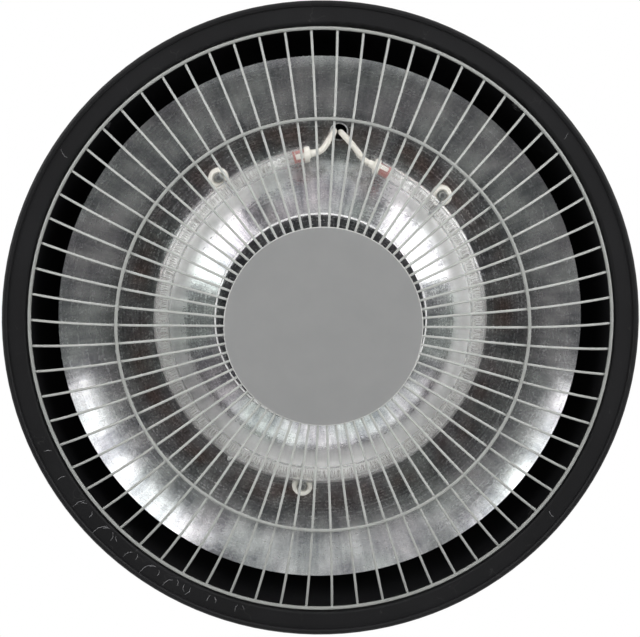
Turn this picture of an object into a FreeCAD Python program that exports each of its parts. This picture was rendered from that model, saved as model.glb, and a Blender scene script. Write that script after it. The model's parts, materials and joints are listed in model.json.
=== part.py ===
import FreeCAD, Part
import math
import os
import re

import Sketcher
from FreeCAD import Placement, Rotation, Vector

# Hanging infrared patio heater, in millimetres, +Z up, mouth of the hood down.
# The origin is the centre of the hanging eye. The front, where the lamp has its gap, is -Y.

doc = FreeCAD.newDocument("patio_heater")
sizes = doc.addObject("Spreadsheet::Sheet", "sizes")
layout = doc.addObject("Spreadsheet::Sheet", "layout")

# Driving dimensions: radii, lengths, degrees and counts
SIZES = {
    "hood_radius": 212.5,        # over the rolled rim
    "hood_sheet": 1.0,
    "rim_bead": 2.0,             # radius of the rolled rim
    "brim_corner": 3.0,          # bend from brim to wall
    "brim_width": 16.5,          # straight wall to the outside of the rim
    "wall_height": 16.0,         # rim plane to the end of the straight wall
    "shoulder_radius": 74.0,     # inside, straight wall to dome
    "crown_radius": 199.0,       # inside, dome
    "crown_margin": 6.0,         # flat top around the cover
    "reflector_gap": 19.4,       # edge of the reflector to the wall
    "reflector_sheet": 0.8,
    "plateau_rise": 20.0,        # rim plane to the flat centre of the reflector
    "ridge_bend": 4.0,
    "flank_start": 28.0,
    "flank_end": 33.0,
    "flank_bend": 364.0,
    "trough_bend": 16.0,
    "seat_margin": 2.14,         # flat seat inside the insulators
    "band_margin": 0.06,         # and outside them
    "band_bend": 97.0,
    "lead_hole_radius": 5.5,
    "lead_hole_aside": 19.0,     # from the lamp's ring, outwards
    "lead_hole_turn": 5.9,       # from the front
    "guard_ring_gap": 1.7,       # wall to the middle of the outer ring
    "guard_ring_rise": 2.0,      # rim plane to the middle of the outer ring
    "ring_wire": 1.15,           # radius
    "middle_ring_step": 20.12,   # outwards from where the spokes begin to bend
    "inner_ring_radius": 58.0,
    "spoke_wire": 0.85,          # radius
    "spoke_count": 70,
    "spoke_overlap": 8.0,        # past the inner ring
    "spoke_bend": 110.0,
    "spoke_slope": 45.0,         # at the outer ring
    "spoke_tail": 1.4,           # past the weld at the outer ring
    "weld_gap": 0.04,
    "plate_radius": 65.3,
    "plate_sheet": 1.0,
    "plate_edge": 0.6,           # rounding of the lower edge
    "tab_count": 4,
    "tab_turn": 42.4,            # of the first tab
    "tab_width": 12.0,
    "tab_sheet": 1.0,
    "tab_height": 12.0,
    "tab_hole_rise": 9.0,        # rim plane to the screw
    "seat_gap": 0.05,            # between pieces that are screwed or pressed together
    "guard_screw": 2.0,          # radius
    "guard_nut": 3.5,            # radius to the flats
    "guard_nut_height": 3.0,
    "lamp_radius": 107.5,
    "lamp_rise": 27.0,           # rim plane to the tube's middle
    "tube_radius": 5.5,
    "tube_wall": 1.2,
    "lamp_gap": 27.0,
    "lamp_turn": 7.8,            # middle of the gap, from the front
    "filament_radius": 2.2,      # to the middle of the wire
    "filament_wire": 0.4,        # radius
    "filament_turns": 90,
    "filament_tail": 2.4,        # straight ends
    "support_count": 14,
    "support_sheet": 0.6,
    "pinch_length": 8.0,
    "pinch_width": 5.0,
    "pinch_thick": 2.4,
    "pin_radius": 0.7,
    "pin_length": 9.0,
    "plug_radius": 6.4,
    "plug_flange": 2.6,
    "spigot_radius": 3.1,
    "spigot_length": 7.0,
    "nose_radius": 3.4,
    "nose_length": 5.0,
    "tip_turn": 213.0,           # sealing tip on the tube, from the front
    "tip_radius": 1.5,
    "tip_length": 3.0,
    "insulator_radius": 6.4,
    "insulator_aside": 1.6,      # from the tube to the insulator's screw head
    "insulator_room": 1.0,       # from the tube's top to the insulator
    "insulator_left": -36.0,
    "insulator_right": 45.0,
    "insulator_back": 186.0,
    "insulator_screw": 1.5,      # radius
    "clip_wire": 0.5,            # radius
    "clip_bend": 1.6,
    "clip_hook": 4.0,            # straight end on the inner side of the tube
    "lead_radius": 2.1,
    "lead_gap": 0.35,            # half the gap between the leads in their hole
    "lead_run": 9.0,            # straight out of the plug
    "lead_dip": 7.0,             # below the hole
    "lead_straight": 19.5,       # straight into the terminal block
    "stud_radius": 4.0,
    "stud_nut": 6.5,             # radius to the flats
    "stud_nut_height": 6.5,
    "stud_washer": 9.0,
    "washer_sheet": 1.6,
    "stud_end": 2.0,             # past its end nuts
    "spacer_radius": 7.0,
    "gasket_height": 1.5,
    "gasket_width": 4.0,
    "cover_radius": 58.0,
    "cover_flat_depth": 5.0,     # of the flats at front and back
    "cover_height": 44.0,
    "cover_sheet": 1.5,
    "cover_edge": 5.0,           # rounding of the top edge
    "block_length": 32.0,
    "block_width": 20.0,
    "block_height": 16.0,
    "block_front": 52.0,         # axis to the face that takes the leads
    "block_pitch": 10.0,
    "block_wire_drop": 9.6,      # crown to the wires
    "bush_radius": 5.5,          # hole in the crown for the inner wire
    "bush_flange": 7.0,
    "bush_bore": 3.4,
    "bush_lip": 1.5,
    "bush_reach": 14.0,          # axis to the bush, towards the front
    "inner_wire": 1.1,           # radius
    "inner_wire_rise": 12.0,     # crown to the turn towards the switch
    "inner_wire_straight": 8.0,  # straight into the switch
    "terminal_screw": 1.9,
    "block_screw": 1.5,
    "block_screw_pitch": 24.0,
    "gland_rise": 20.0,          # foot of the cover to the gland and the switch
    "gland_thread": 8.0,
    "gland_collar": 11.0,
    "gland_collar_length": 6.0,
    "gland_bore": 5.6,
    "gland_throat": 14.0,        # collar to the free end of the body
    "gland_grip": 9.0,           # flats of the outer nut
    "gland_nut_mouth": 5.0,
    "gland_nut_lip": 2.2,        # width of the end face
    "gland_nut_end": 2.0,        # wall over the seal
    "locknut_height": 4.0,
    "cable_radius": 3.9,         # bore of the seal
    "seal_length": 10.0,
    "switch_width": 15.0,
    "switch_height": 21.0,
    "bezel": 2.2,
    "switch_wall": 1.5,
    "switch_depth": 14.0,
    "switch_room": 0.35,         # around the rocker
    "rocker_depth": 6.0,
    "rocker_horn": 0.6,          # how far its ends stand out
    "rocker_dip": 0.4,           # how far its middle sinks
    "rocker_pin_length": 1.2,
    "rocker_tilt": 9.0,
    "rocker_pin": 1.0,
    "blade_length": 8.0,
    "blade_drop": 5.0,           # below and above the switch's middle
    "blade_width": 4.8,
    "blade_sheet": 0.8,
    "earth_screw": 2.0,
    "earth_reach": 30.0,
    "bracket_sheet": 2.5,
    "bracket_width": 24.0,
    "bracket_gap": 20.0,         # between the ears
    "pin_rise": 22.0,            # top of the bracket's foot to the pin
    "hanger_pin": 3.0,           # radius
    "hanger_pin_head": 5.0,
    "hanger_pin_head_height": 2.0,
    "pin_clearance": 0.06,
    "side_clearance": 0.3,
    "clip_ring": 5.2,
    "clip_ring_sheet": 1.2,
    "pin_tail": 3.0,             # past the clip
    "link_width": 9.0,           # half
    "link_sheet": 4.0,
    "link_pitch": 28.0,          # pin to eye
    "eye_radius": 6.0,
}

# Places worked out from the driving dimensions: heights are from the rim plane until eye_height is known
LAYOUT = {
    "neck_radius": "hood_radius - brim_width",
    "cover_flat": "cover_radius - cover_flat_depth",
    "crown_flat": "cover_radius + crown_margin",
    "arc_run": "neck_radius - shoulder_radius - crown_flat",
    "arc_drop": "sqrt((crown_radius - shoulder_radius)^2 - arc_run^2)",
    "crown_under": "wall_height - arc_drop + crown_radius",
    "dome_share": "crown_radius / (crown_radius - shoulder_radius)",
    "joint_reach": "crown_flat + arc_run * dome_share",
    "joint_rise": "wall_height - arc_drop + arc_drop * dome_share",
    "crown_top": "crown_under + hood_sheet",
    "cover_foot": "crown_top + gasket_height",
    "cover_top": "cover_foot + cover_height",
    "bracket_top": "cover_top + bracket_sheet",
    "eye_height": "bracket_top + pin_rise + link_pitch",
    "rim_z": "-eye_height",
    "plateau_z": "rim_z + plateau_rise",
    "insulator_head": "1.6 * insulator_screw",
    "insulator_reach": "lamp_radius + tube_radius + insulator_aside + insulator_head",
    "seat_reach": "insulator_reach - insulator_radius - seat_margin",
    "band_reach": "insulator_reach + insulator_radius + band_margin",
    "trough_reach": "seat_reach - trough_bend * sin(flank_end)",
    "flank_reach": "trough_reach - flank_bend * (sin(flank_end) - sin(flank_start))",
    "plateau_flat": "flank_reach - ridge_bend * sin(flank_start)",
    "flank_z": "plateau_z + ridge_bend * (1 - cos(flank_start))",
    "trough_z": "flank_z + flank_bend * (cos(flank_start) - cos(flank_end))",
    "seat_z": "trough_z + trough_bend * (1 - cos(flank_end))",
    "reflector_radius": "neck_radius - reflector_gap",
    "band_run": "reflector_radius - band_reach",
    "edge_z": "seat_z - band_bend + sqrt(band_bend^2 - band_run^2)",
    "weld": "ring_wire + spoke_wire + weld_gap",
    "guard_ring_radius": "neck_radius - guard_ring_gap",
    "guard_ring_z": "rim_z + guard_ring_rise",
    "weld_reach": "guard_ring_radius - weld * sin(spoke_slope)",
    "weld_z": "guard_ring_z + weld * cos(spoke_slope)",
    "bend_reach": "weld_reach - spoke_bend * sin(spoke_slope)",
    "front_z": "weld_z - spoke_bend * (1 - cos(spoke_slope))",
    "middle_ring_radius": "bend_reach + middle_ring_step",
    "middle_slope": "asin((middle_ring_radius - bend_reach) / (spoke_bend + weld))",
    "middle_ring_z": "front_z + spoke_bend - (spoke_bend + weld) * cos(middle_slope)",
    "inner_ring_z": "front_z + weld",
    "spoke_reach": "inner_ring_radius - spoke_overlap",
    "plate_top": "front_z - spoke_wire - weld_gap",
    "tab_foot": "guard_ring_z + ring_wire",
    "tab_face": "neck_radius - seat_gap",
    "tab_screw_z": "rim_z + tab_hole_rise",
    "lamp_z": "rim_z + lamp_rise",
    "bore_radius": "tube_radius - tube_wall",
    "degree": "lamp_radius * pi / 180",
    "insulator_foot": "lamp_z + tube_radius + insulator_room",
    "crown_z": "rim_z + crown_under",
    "roof_z": "rim_z + crown_top",
    "foot_z": "rim_z + cover_foot",
    "lid_z": "rim_z + cover_top",
    "saddle_z": "rim_z + bracket_top",
    "pin_z": "-link_pitch",
    "fitting_z": "foot_z + gland_rise",
    "stud_bottom": "plateau_z - washer_sheet - stud_nut_height - stud_end",
    "stud_top": "saddle_z + washer_sheet + stud_nut_height + stud_end",
    "lead_hole_reach": "lamp_radius + lead_hole_aside",
    "block_x": "lead_hole_reach * sin(lead_hole_turn)",
    "block_y": "block_width / 2 - block_front",
    "wire_z": "crown_z - block_wire_drop",
    "bore_wall": "cover_flat - cover_sheet",
    "rocker_width": "switch_width - 2 * switch_wall - 2 * switch_room",
    "rocker_lean": "(rocker_depth / 2 + rocker_horn) * sin(rocker_tilt)",
    "rocker_height": "switch_height - 2 * (switch_wall + switch_room + rocker_lean)",
    "rocker_axis": "cover_flat + bezel - rocker_depth / 2",
    "ear_inner": "bracket_gap / 2",
    "ear_outer": "bracket_gap / 2 + bracket_sheet",
    "ear_radius": "bracket_width / 2",
}


def spelled(text, inside=None):
    """The same formula with each name given its sheet."""
    def full(match):
        word = match.group(0)
        if word in SIZES:
            return "sizes." + word
        if word in LAYOUT and inside is not layout:
            return "layout." + word
        return word
    return re.sub(r"\b[a-z][a-z_]+\b", full, text)


def fill(sheet, cells):
    for row, (name, content) in enumerate(cells.items(), 1):
        sheet.set(f"A{row}", name)
        sheet.set(f"B{row}", content)
        sheet.setAlias(f"B{row}", name)
    doc.recompute()


def value(text):
    """A formula's present value, as a number."""
    return float(layout.evalExpression(spelled(text, layout)))


def bind(thing, setting, text):
    thing.setExpression(setting, spelled(text))


fill(sizes, {name: str(number) for name, number in SIZES.items()})
fill(layout, {name: "=" + spelled(text, layout) for name, text in LAYOUT.items()})

NODES = []


def node(label, piece):
    piece.Label = label
    NODES.append(piece)
    return piece


# Outlines

def trace(sketch, corners, closed=True):
    """Lines through the corners. A corner (x, y, radius, turn) ends an arc to the left (1) or right (-1)."""
    spots = [Vector(value(corner[0]), value(corner[1]), 0) for corner in corners]
    first = sketch.GeometryCount
    ends = []
    legs = len(corners) if closed else len(corners) - 1
    for leg in range(legs):
        goal = (leg + 1) % len(corners)
        start, end, corner = spots[leg], spots[goal], corners[goal]
        if len(corner) == 2:
            sketch.addGeometry(Part.LineSegment(start, end), False)
            ends.append((1, 2))
            continue
        radius, turn = value(corner[2]), corner[3]
        chord = end - start
        side = Vector(-chord.y, chord.x, 0).normalize() * turn
        centre = (start + end) / 2 + side * math.sqrt(max(radius ** 2 - (chord.Length / 2) ** 2, 0))
        low, high = (start, end) if turn > 0 else (end, start)
        angles = [math.atan2(spot.y - centre.y, spot.x - centre.x) for spot in (low, high)]
        circle = Part.Circle(centre, Vector(0, 0, 1), radius)
        edge = sketch.addGeometry(Part.ArcOfCircle(circle, *angles), False)
        ends.append((1, 2) if turn > 0 else (2, 1))
        hold(sketch, Sketcher.Constraint("Radius", edge, radius), corner[2])
    for leg in range(legs):
        following = (leg + 1) % legs
        if closed or following:
            sketch.addConstraint(Sketcher.Constraint(
                "Coincident", first + leg, ends[leg][1], first + following, ends[following][0]))
        pin_down(sketch, first + leg, ends[leg][0], corners[leg])
    if not closed:
        pin_down(sketch, first + legs - 1, ends[-1][1], corners[-1])


def pin_down(sketch, edge, end, corner):
    for kind, axis, text in (("DistanceX", -2, corner[0]), ("DistanceY", -1, corner[1])):
        if text == "0":
            sketch.addConstraint(Sketcher.Constraint("PointOnObject", edge, end, axis))
        else:
            hold(sketch, Sketcher.Constraint(kind, -1, 1, edge, end, value(text)), text)


def hold(sketch, constraint, text):
    bind(sketch, f"Constraints[{sketch.addConstraint(constraint)}]", text)


def ring_in(sketch, radius, x="0", y="0"):
    """A full circle."""
    circle = Part.Circle(Vector(value(x), value(y), 0), Vector(0, 0, 1), value(radius))
    edge = sketch.addGeometry(circle, False)
    hold(sketch, Sketcher.Constraint("Radius", edge, value(radius)), radius)
    pin_down(sketch, edge, 3, (x, y))


UPRIGHT = Placement(Vector(0, 0, 0), Rotation(Vector(1, 0, 0), 90))


def spun_sheet(name, corners, sheet):
    """A sheet spun about the heater's axis from the open outline of one of its faces."""
    outline = doc.addObject("Sketcher::SketchObject", name + "_outline")
    outline.Placement = UPRIGHT
    trace(outline, corners, closed=False)
    doc.recompute()
    section = doc.addObject("Part::Offset2D", name + "_section")
    section.Source = outline
    section.Mode = "Skin"
    section.Join = "Intersection"
    section.Fill = True
    section.Value = value(sheet)
    bind(section, "Value", sheet)
    spun = doc.addObject("Part::Revolution", name + "_spun")
    spun.Source = section
    spun.Axis = (0, 0, 1)
    spun.Angle = 360
    spun.Solid = True
    return spun


# Solids

def put(piece, x, y, z, axis=(0, 0, 1)):
    turn = Rotation(Vector(0, 0, 1), Vector(*axis))
    piece.Placement = Placement(Vector(value(x), value(y), value(z)), turn)
    for letter, text in zip("xyz", (x, y, z)):
        if text != "0":
            bind(piece, f"Placement.Base.{letter}", text)
    return piece


def cylinder(name, radius, height, x="0", y="0", z="0", axis=(0, 0, 1)):
    piece = doc.addObject("Part::Cylinder", name)
    bind(piece, "Radius", radius)
    bind(piece, "Height", height)
    return put(piece, x, y, z, axis)


def cone(name, foot, top, height, x="0", y="0", z="0", axis=(0, 0, 1)):
    piece = doc.addObject("Part::Cone", name)
    bind(piece, "Radius1", foot)
    bind(piece, "Radius2", top)
    bind(piece, "Height", height)
    return put(piece, x, y, z, axis)


def box(name, length, width, height, x, y, z):
    """A box whose middle is at x, y and whose foot is at z."""
    piece = doc.addObject("Part::Box", name)
    bind(piece, "Length", length)
    bind(piece, "Width", width)
    bind(piece, "Height", height)
    return put(piece, f"{x} - ({length}) / 2", f"{y} - ({width}) / 2", z)


def prism(name, radius, height, x="0", y="0", z="0", axis=(0, 0, 1)):
    """A hexagon nut's outside, from the radius to its flats."""
    piece = doc.addObject("Part::Prism", name)
    piece.Polygon = 6
    bind(piece, "Circumradius", f"({radius}) / cos(30)")
    bind(piece, "Height", height)
    return put(piece, x, y, z, axis)


def torus(name, ring, wire, z, start=None, sweep="360"):
    """A ring about the heater's axis, or a stretch of one from an angle, anticlockwise seen from above."""
    piece = doc.addObject("Part::Torus", name)
    bind(piece, "Radius1", ring)
    bind(piece, "Radius2", wire)
    bind(piece, "Angle3", sweep)
    put(piece, "0", "0", z)
    if start:
        piece.Placement.Rotation = Rotation(Vector(0, 0, 1), value(start))
        bind(piece, "Placement.Rotation.Angle", start)
    return piece


def cut(name, base, *tools):
    piece = doc.addObject("Part::Cut", name)
    piece.Base = base
    piece.Tool = tools[0] if len(tools) == 1 else fuse(name + "_tools", *tools)
    return piece


def fuse(name, *pieces):
    piece = doc.addObject("Part::MultiFuse", name)
    piece.Shapes = list(pieces)
    return piece


def common(name, *pieces):
    piece = doc.addObject("Part::MultiCommon", name)
    piece.Shapes = list(pieces)
    return piece


def feature(name, shapes):
    piece = doc.addObject("Part::Feature", name)
    piece.Shape = shapes[0] if len(shapes) == 1 else Part.Compound(shapes)
    return piece


def group(name, *pieces):
    piece = doc.addObject("Part::Compound", name)
    piece.Links = list(pieces)
    return piece


def turned(shape, angle):
    copy = shape.copy()
    copy.rotate(Vector(0, 0, 0), Vector(0, 0, 1), angle)
    return copy


def turned_copies(name, piece, angles):
    """Separate copies of a finished piece, turned about the heater's axis."""
    doc.recompute()
    return feature(name, [turned(piece.Shape, angle) for angle in angles])


def new_body(name):
    return doc.addObject("PartDesign::Body", name)


def plane_sketch(body, name, role):
    sketch = body.newObject("Sketcher::SketchObject", name)
    planes = [plane for plane in body.Origin.OriginFeatures if plane.Role == role]
    sketch.AttachmentSupport = [(planes[0], "")]
    sketch.MapMode = "FlatFace"
    return sketch


def pad(body, sketch, length):
    """Material on both sides of the sketch's plane."""
    piece = body.newObject("PartDesign::Pad", sketch.Name + "_pad")
    piece.Profile = sketch
    piece.Midplane = True
    bind(piece, "Length", length)
    return piece


# Wires

def piped(path, radius):
    """A round wire along a path of lines and arcs."""
    edge = path.Edges[0]
    start = edge.valueAt(edge.FirstParameter)
    along = edge.tangentAt(edge.FirstParameter)
    section = Part.Wire(Part.Circle(start, along, radius).toShape())
    shell = Part.BRepOffsetAPI.MakePipeShell(path)
    shell.add(section)
    shell.build()
    shell.makeSolid()
    return shell.shape()


def arc_from(start, along, end):
    """The arc that leaves start in a direction and reaches end."""
    chord = end - start
    unit = Vector(chord).normalize()
    lean = along.getAngle(unit)
    if lean < 1e-7:
        return Part.LineSegment(start, end).toShape()
    side = (along - unit * along.dot(unit)).normalize()
    middle = (start + end) / 2 + side * (chord.Length / 2 * math.tan(lean / 2))
    return Part.Arc(start, middle, end).toShape()


def rounded_path(points):
    """Straight runs joined by arcs as large as the runs allow, and the radii of those arcs."""
    edges, radii, last = [], [], points[0]
    for before, here, after in zip(points, points[1:], points[2:]):
        back, on = before - here, after - here
        turn = math.pi - back.getAngle(on)
        reach = 0.45 * min(back.Length, on.Length)
        leave = here + Vector(back).normalize() * reach
        meet = here + Vector(on).normalize() * reach
        edges.append(Part.LineSegment(last, leave).toShape())
        edges.append(arc_from(leave, Vector(here - leave).normalize(), meet))
        radii.append(reach / math.tan(turn / 2))
        last = meet
    edges.append(Part.LineSegment(last, points[-1]).toShape())
    return Part.Wire(edges), radii


def around(radius, turn, z):
    """A point by its distance from the axis, its angle from the front and its height."""
    angle = math.radians(turn)
    return Vector(radius * math.sin(angle), -radius * math.cos(angle), z)


# Hood: spun steel with a rolled rim

def make_hood():
    skin = spun_sheet("hood", [
        ("hood_radius - rim_bead", "rim_z + rim_bead"),
        ("neck_radius + brim_corner", "rim_z + rim_bead"),
        ("neck_radius", "rim_z + rim_bead + brim_corner", "brim_corner", -1),
        ("neck_radius", "rim_z + wall_height"),
        ("joint_reach", "rim_z + joint_rise", "shoulder_radius", 1),
        ("crown_flat", "crown_z", "crown_radius", 1),
        ("stud_radius + seat_gap", "crown_z"),
    ], "-hood_sheet")
    rim = torus("rolled_rim", "hood_radius - rim_bead", "rim_bead", "rim_z + rim_bead")
    blank = fuse("hood_blank", skin, rim)
    screw = cylinder("guard_screw_hole", "guard_screw + seat_gap", "4 * hood_sheet",
                     "neck_radius - hood_sheet", "0", "tab_screw_z", (1, 0, 0))
    holes = turned_copies("guard_screw_holes", screw, tab_angles())
    through = [cylinder(f"block_screw_hole_{side}", "block_screw + seat_gap", "4 * hood_sheet",
                        f"block_x {sign} block_screw_pitch / 2", "block_y",
                        "crown_z - hood_sheet")
               for side, sign in (("left", "-"), ("right", "+"))]
    earth = cylinder("earth_hole", "earth_screw + seat_gap", "4 * hood_sheet",
                     "-earth_reach", "0", "crown_z - hood_sheet")
    bush = cylinder("bush_hole", "bush_radius", "4 * hood_sheet",
                    "block_x", "-bush_reach", "crown_z - hood_sheet")
    return node("hood", cut("hood_cut", blank, holes, *through, earth, bush))


def tab_angles():
    count = int(value("tab_count"))
    return [value("tab_turn") + 360 / count * number for number in range(count)]


# Reflector: spun aluminium with a flat centre and a trough behind the lamp

def insulator_angles():
    return [value(name) for name in ("insulator_left", "insulator_right", "insulator_back")]


def make_reflector():
    skin = spun_sheet("reflector", [
        ("stud_radius + seat_gap", "plateau_z"),
        ("plateau_flat", "plateau_z"),
        ("flank_reach", "flank_z", "ridge_bend", 1),
        ("trough_reach", "trough_z", "flank_bend", 1),
        ("seat_reach", "seat_z", "trough_bend", -1),
        ("band_reach", "seat_z"),
        ("reflector_radius", "edge_z", "band_bend", -1),
    ], "reflector_sheet")
    lead = cylinder("lead_hole", "lead_hole_radius", "20 * reflector_sheet",
                    "lead_hole_reach * sin(lead_hole_turn)", "-lead_hole_reach * cos(lead_hole_turn)",
                    "seat_z - 10 * reflector_sheet")
    screw = cylinder("insulator_hole", "insulator_screw + seat_gap", "4 * reflector_sheet",
                     "0", "-insulator_reach", "seat_z - reflector_sheet")
    holes = turned_copies("insulator_holes", screw, insulator_angles())
    return node("reflector", cut("reflector_cut", skin, lead, holes))


# Guard: rings and spokes of welded wire, a plate in the middle and tabs screwed to the hood's wall

def make_guard():
    node("guard_outer_ring", torus("outer_ring", "guard_ring_radius", "ring_wire", "guard_ring_z"))
    node("guard_middle_ring", torus("middle_ring", "middle_ring_radius", "ring_wire", "middle_ring_z"))
    node("guard_inner_ring", torus("inner_ring", "inner_ring_radius", "ring_wire", "inner_ring_z"))
    make_spokes()
    make_plate()
    make_tabs()


def make_spokes():
    slope = math.radians(value("spoke_slope"))
    front, bend = value("front_z"), value("spoke_bend")
    inner = Vector(value("spoke_reach"), 0, front)
    knee = Vector(value("bend_reach"), 0, front)
    weld = Vector(value("weld_reach"), 0, value("weld_z"))
    along = Vector(math.cos(slope), 0, math.sin(slope))
    half = knee + Vector(bend * math.sin(slope / 2), 0, bend * (1 - math.cos(slope / 2)))
    path = Part.Wire([
        Part.LineSegment(inner, knee).toShape(),
        Part.Arc(knee, half, weld).toShape(),
        Part.LineSegment(weld, weld + along * value("spoke_tail")).toShape(),
    ])
    spoke = piped(path, value("spoke_wire"))
    count = int(value("spoke_count"))
    spokes = [turned(spoke, 360 / count * (number + 0.1)) for number in range(count)]
    node("guard_spokes", feature("spokes", spokes))


def make_plate():
    body = new_body("plate")
    outline = plane_sketch(body, "plate_outline", "XZ_Plane")
    trace(outline, [
        ("0", "plate_top"),
        ("0", "plate_top - plate_sheet"),
        ("plate_radius - plate_edge", "plate_top - plate_sheet"),
        ("plate_radius", "plate_top - plate_sheet + plate_edge", "plate_edge", 1),
        ("plate_radius", "plate_top"),
    ])
    spun = body.newObject("PartDesign::Revolution", "plate_spun")
    spun.Profile = outline
    spun.ReferenceAxis = (outline, ["V_Axis"])
    spun.Angle = 360
    node("guard_plate", body)


def make_tabs():
    blank = box("tab_blank", "tab_sheet", "tab_width", "tab_height",
                "tab_face - tab_sheet / 2", "0", "tab_foot")
    wall = cylinder("tab_curve", "tab_face", "3 * tab_height", z="tab_foot - tab_height")
    hole = cylinder("tab_hole", "guard_screw + seat_gap", "8 * tab_sheet",
                    "tab_face - 4 * tab_sheet", "0", "tab_screw_z", (1, 0, 0))
    tab = cut("tab", common("tab_trimmed", blank, wall), hole)
    node("guard_tabs", turned_copies("tabs", tab, tab_angles()))
    reach = "tab_sheet + guard_nut_height + 2 * hood_sheet"
    shank = cylinder("guard_shank", "guard_screw", reach,
                     f"neck_radius + hood_sheet - ({reach})", "0", "tab_screw_z", (1, 0, 0))
    head = cone("guard_head", "1.9 * guard_screw", "1.3 * guard_screw", "1.1 * guard_screw",
                "neck_radius + hood_sheet", "0", "tab_screw_z", (1, 0, 0))
    screw = fuse("guard_screw_one", shank, head)
    node("guard_screws", turned_copies("guard_screw_set", screw, tab_angles()))
    nut = prism("guard_nut_blank", "guard_nut", "guard_nut_height",
                "tab_face - tab_sheet - guard_nut_height - 2 * seat_gap", "0", "tab_screw_z", (1, 0, 0))
    bore = cylinder("guard_nut_bore", "guard_screw + seat_gap", "3 * guard_nut_height",
                    "tab_face - 3 * guard_nut_height", "0", "tab_screw_z", (1, 0, 0))
    node("guard_nuts", turned_copies("guard_nut_set", cut("guard_nut_one", nut, bore), tab_angles()))


# Lamp: a ring of quartz tube with a coiled filament, ceramic end plugs and soft seals

def along_ring(length):
    """The angle that a length takes along the lamp's ring."""
    return f"({length}) / degree"


# Each end of the tube: its angle from the front, and the way into the tube, 1 where that angle grows
LAMP_ENDS = {"left": ("lamp_turn - lamp_gap / 2", -1), "right": ("lamp_turn + lamp_gap / 2", 1)}


def ring_stretch(name, wire, side, start, length):
    """A stretch of torus beside one end of the tube, from a distance into the tube, going outwards."""
    end, way = LAMP_ENDS[side]
    deep, far = along_ring(start), along_ring(f"({start}) - ({length})")
    low = f"{end} - {deep}" if way < 0 else f"{end} + {far}"
    return torus(name, "lamp_radius", wire, "lamp_z", f"{low} - 90", along_ring(length))


def make_lamp():
    start = "lamp_turn + lamp_gap / 2 - 90"
    glass = torus("tube_outside", "lamp_radius", "tube_radius", "lamp_z", start, "360 - lamp_gap")
    tip_spot = around(value("lamp_radius"), value("tip_turn"), value("lamp_z"))
    tip = cone("tube_tip", "tip_radius", "tip_radius / 3", "tube_radius + tip_length",
               "lamp_radius * sin(tip_turn)", "-lamp_radius * cos(tip_turn)", "lamp_z",
               (tip_spot.x, tip_spot.y, 0))
    bore = torus("tube_bore", "lamp_radius", "bore_radius", "lamp_z", start, "360 - lamp_gap")
    node("lamp_tube", cut("tube", fuse("tube_glass", glass, tip), bore))
    for side in LAMP_ENDS:
        make_plug(side)
    seals = []
    for side in LAMP_ENDS:
        outer = ring_stretch(f"seal_outside_{side}", "bore_radius - seat_gap", side, "0.8 * spigot_length",
                             "0.8 * spigot_length")
        inner = ring_stretch(f"seal_bore_{side}", "spigot_radius + seat_gap", side, "0.8 * spigot_length",
                             "0.8 * spigot_length")
        seals.append(cut(f"seal_{side}", outer, inner))
    node("lamp_seals", group("seals", *seals))
    pins = [ring_stretch(f"contact_pin_{side}", "pin_radius", side, "spigot_length + seat_gap + pin_length",
                         "pin_length") for side in LAMP_ENDS]
    node("lamp_pins", group("contact_pins", *pins))
    make_pinches()
    make_filament()


def make_plug(side):
    end, way = LAMP_ENDS[side]
    spigot = ring_stretch(f"spigot_{side}", "spigot_radius", side, "spigot_length", "spigot_length")
    nose = ring_stretch(f"nose_{side}", "nose_radius", side, "0", "plug_flange + nose_length")
    turn = math.radians(value(end))
    outward = (-way * math.cos(turn), -way * math.sin(turn), 0)
    flange = cylinder(f"flange_{side}", "plug_radius", "plug_flange",
                      f"lamp_radius * sin({end}) - ({way}) * seat_gap * cos({end})",
                      f"-lamp_radius * cos({end}) - ({way}) * seat_gap * sin({end})", "lamp_z", outward)
    node(f"lamp_plug_{side}", fuse(f"plug_{side}", spigot, flange, nose))


def pinch_depth():
    """From the tube's end to the pinch."""
    return "spigot_length + pin_length + 2 * seat_gap"


def make_pinches():
    pinches = []
    for side, (end, way) in LAMP_ENDS.items():
        middle = f"{end} + ({way}) * ({along_ring(pinch_depth() + ' + pinch_length / 2')})"
        blank = doc.addObject("Part::Box", f"pinch_{side}")
        bind(blank, "Length", "pinch_length")
        bind(blank, "Width", "pinch_thick")
        bind(blank, "Height", "pinch_width")
        turn = value(middle)
        shift = Rotation(Vector(0, 0, 1), turn).multVec(
            Vector(value("pinch_length"), value("pinch_thick"), 0) / 2)
        blank.Placement = Placement(
            around(value("lamp_radius"), turn, value("lamp_z - pinch_width / 2")) - shift,
            Rotation(Vector(0, 0, 1), turn))
        pinches.append(blank)
    node("lamp_pinches", group("pinches", *pinches))


def filament_span():
    """The first angle of the filament from the front, and how far it goes round."""
    depth = value(along_ring(pinch_depth() + " + pinch_length + seat_gap"))
    return value("lamp_turn + lamp_gap / 2") + depth, value("360 - lamp_gap") - 2 * depth


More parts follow.
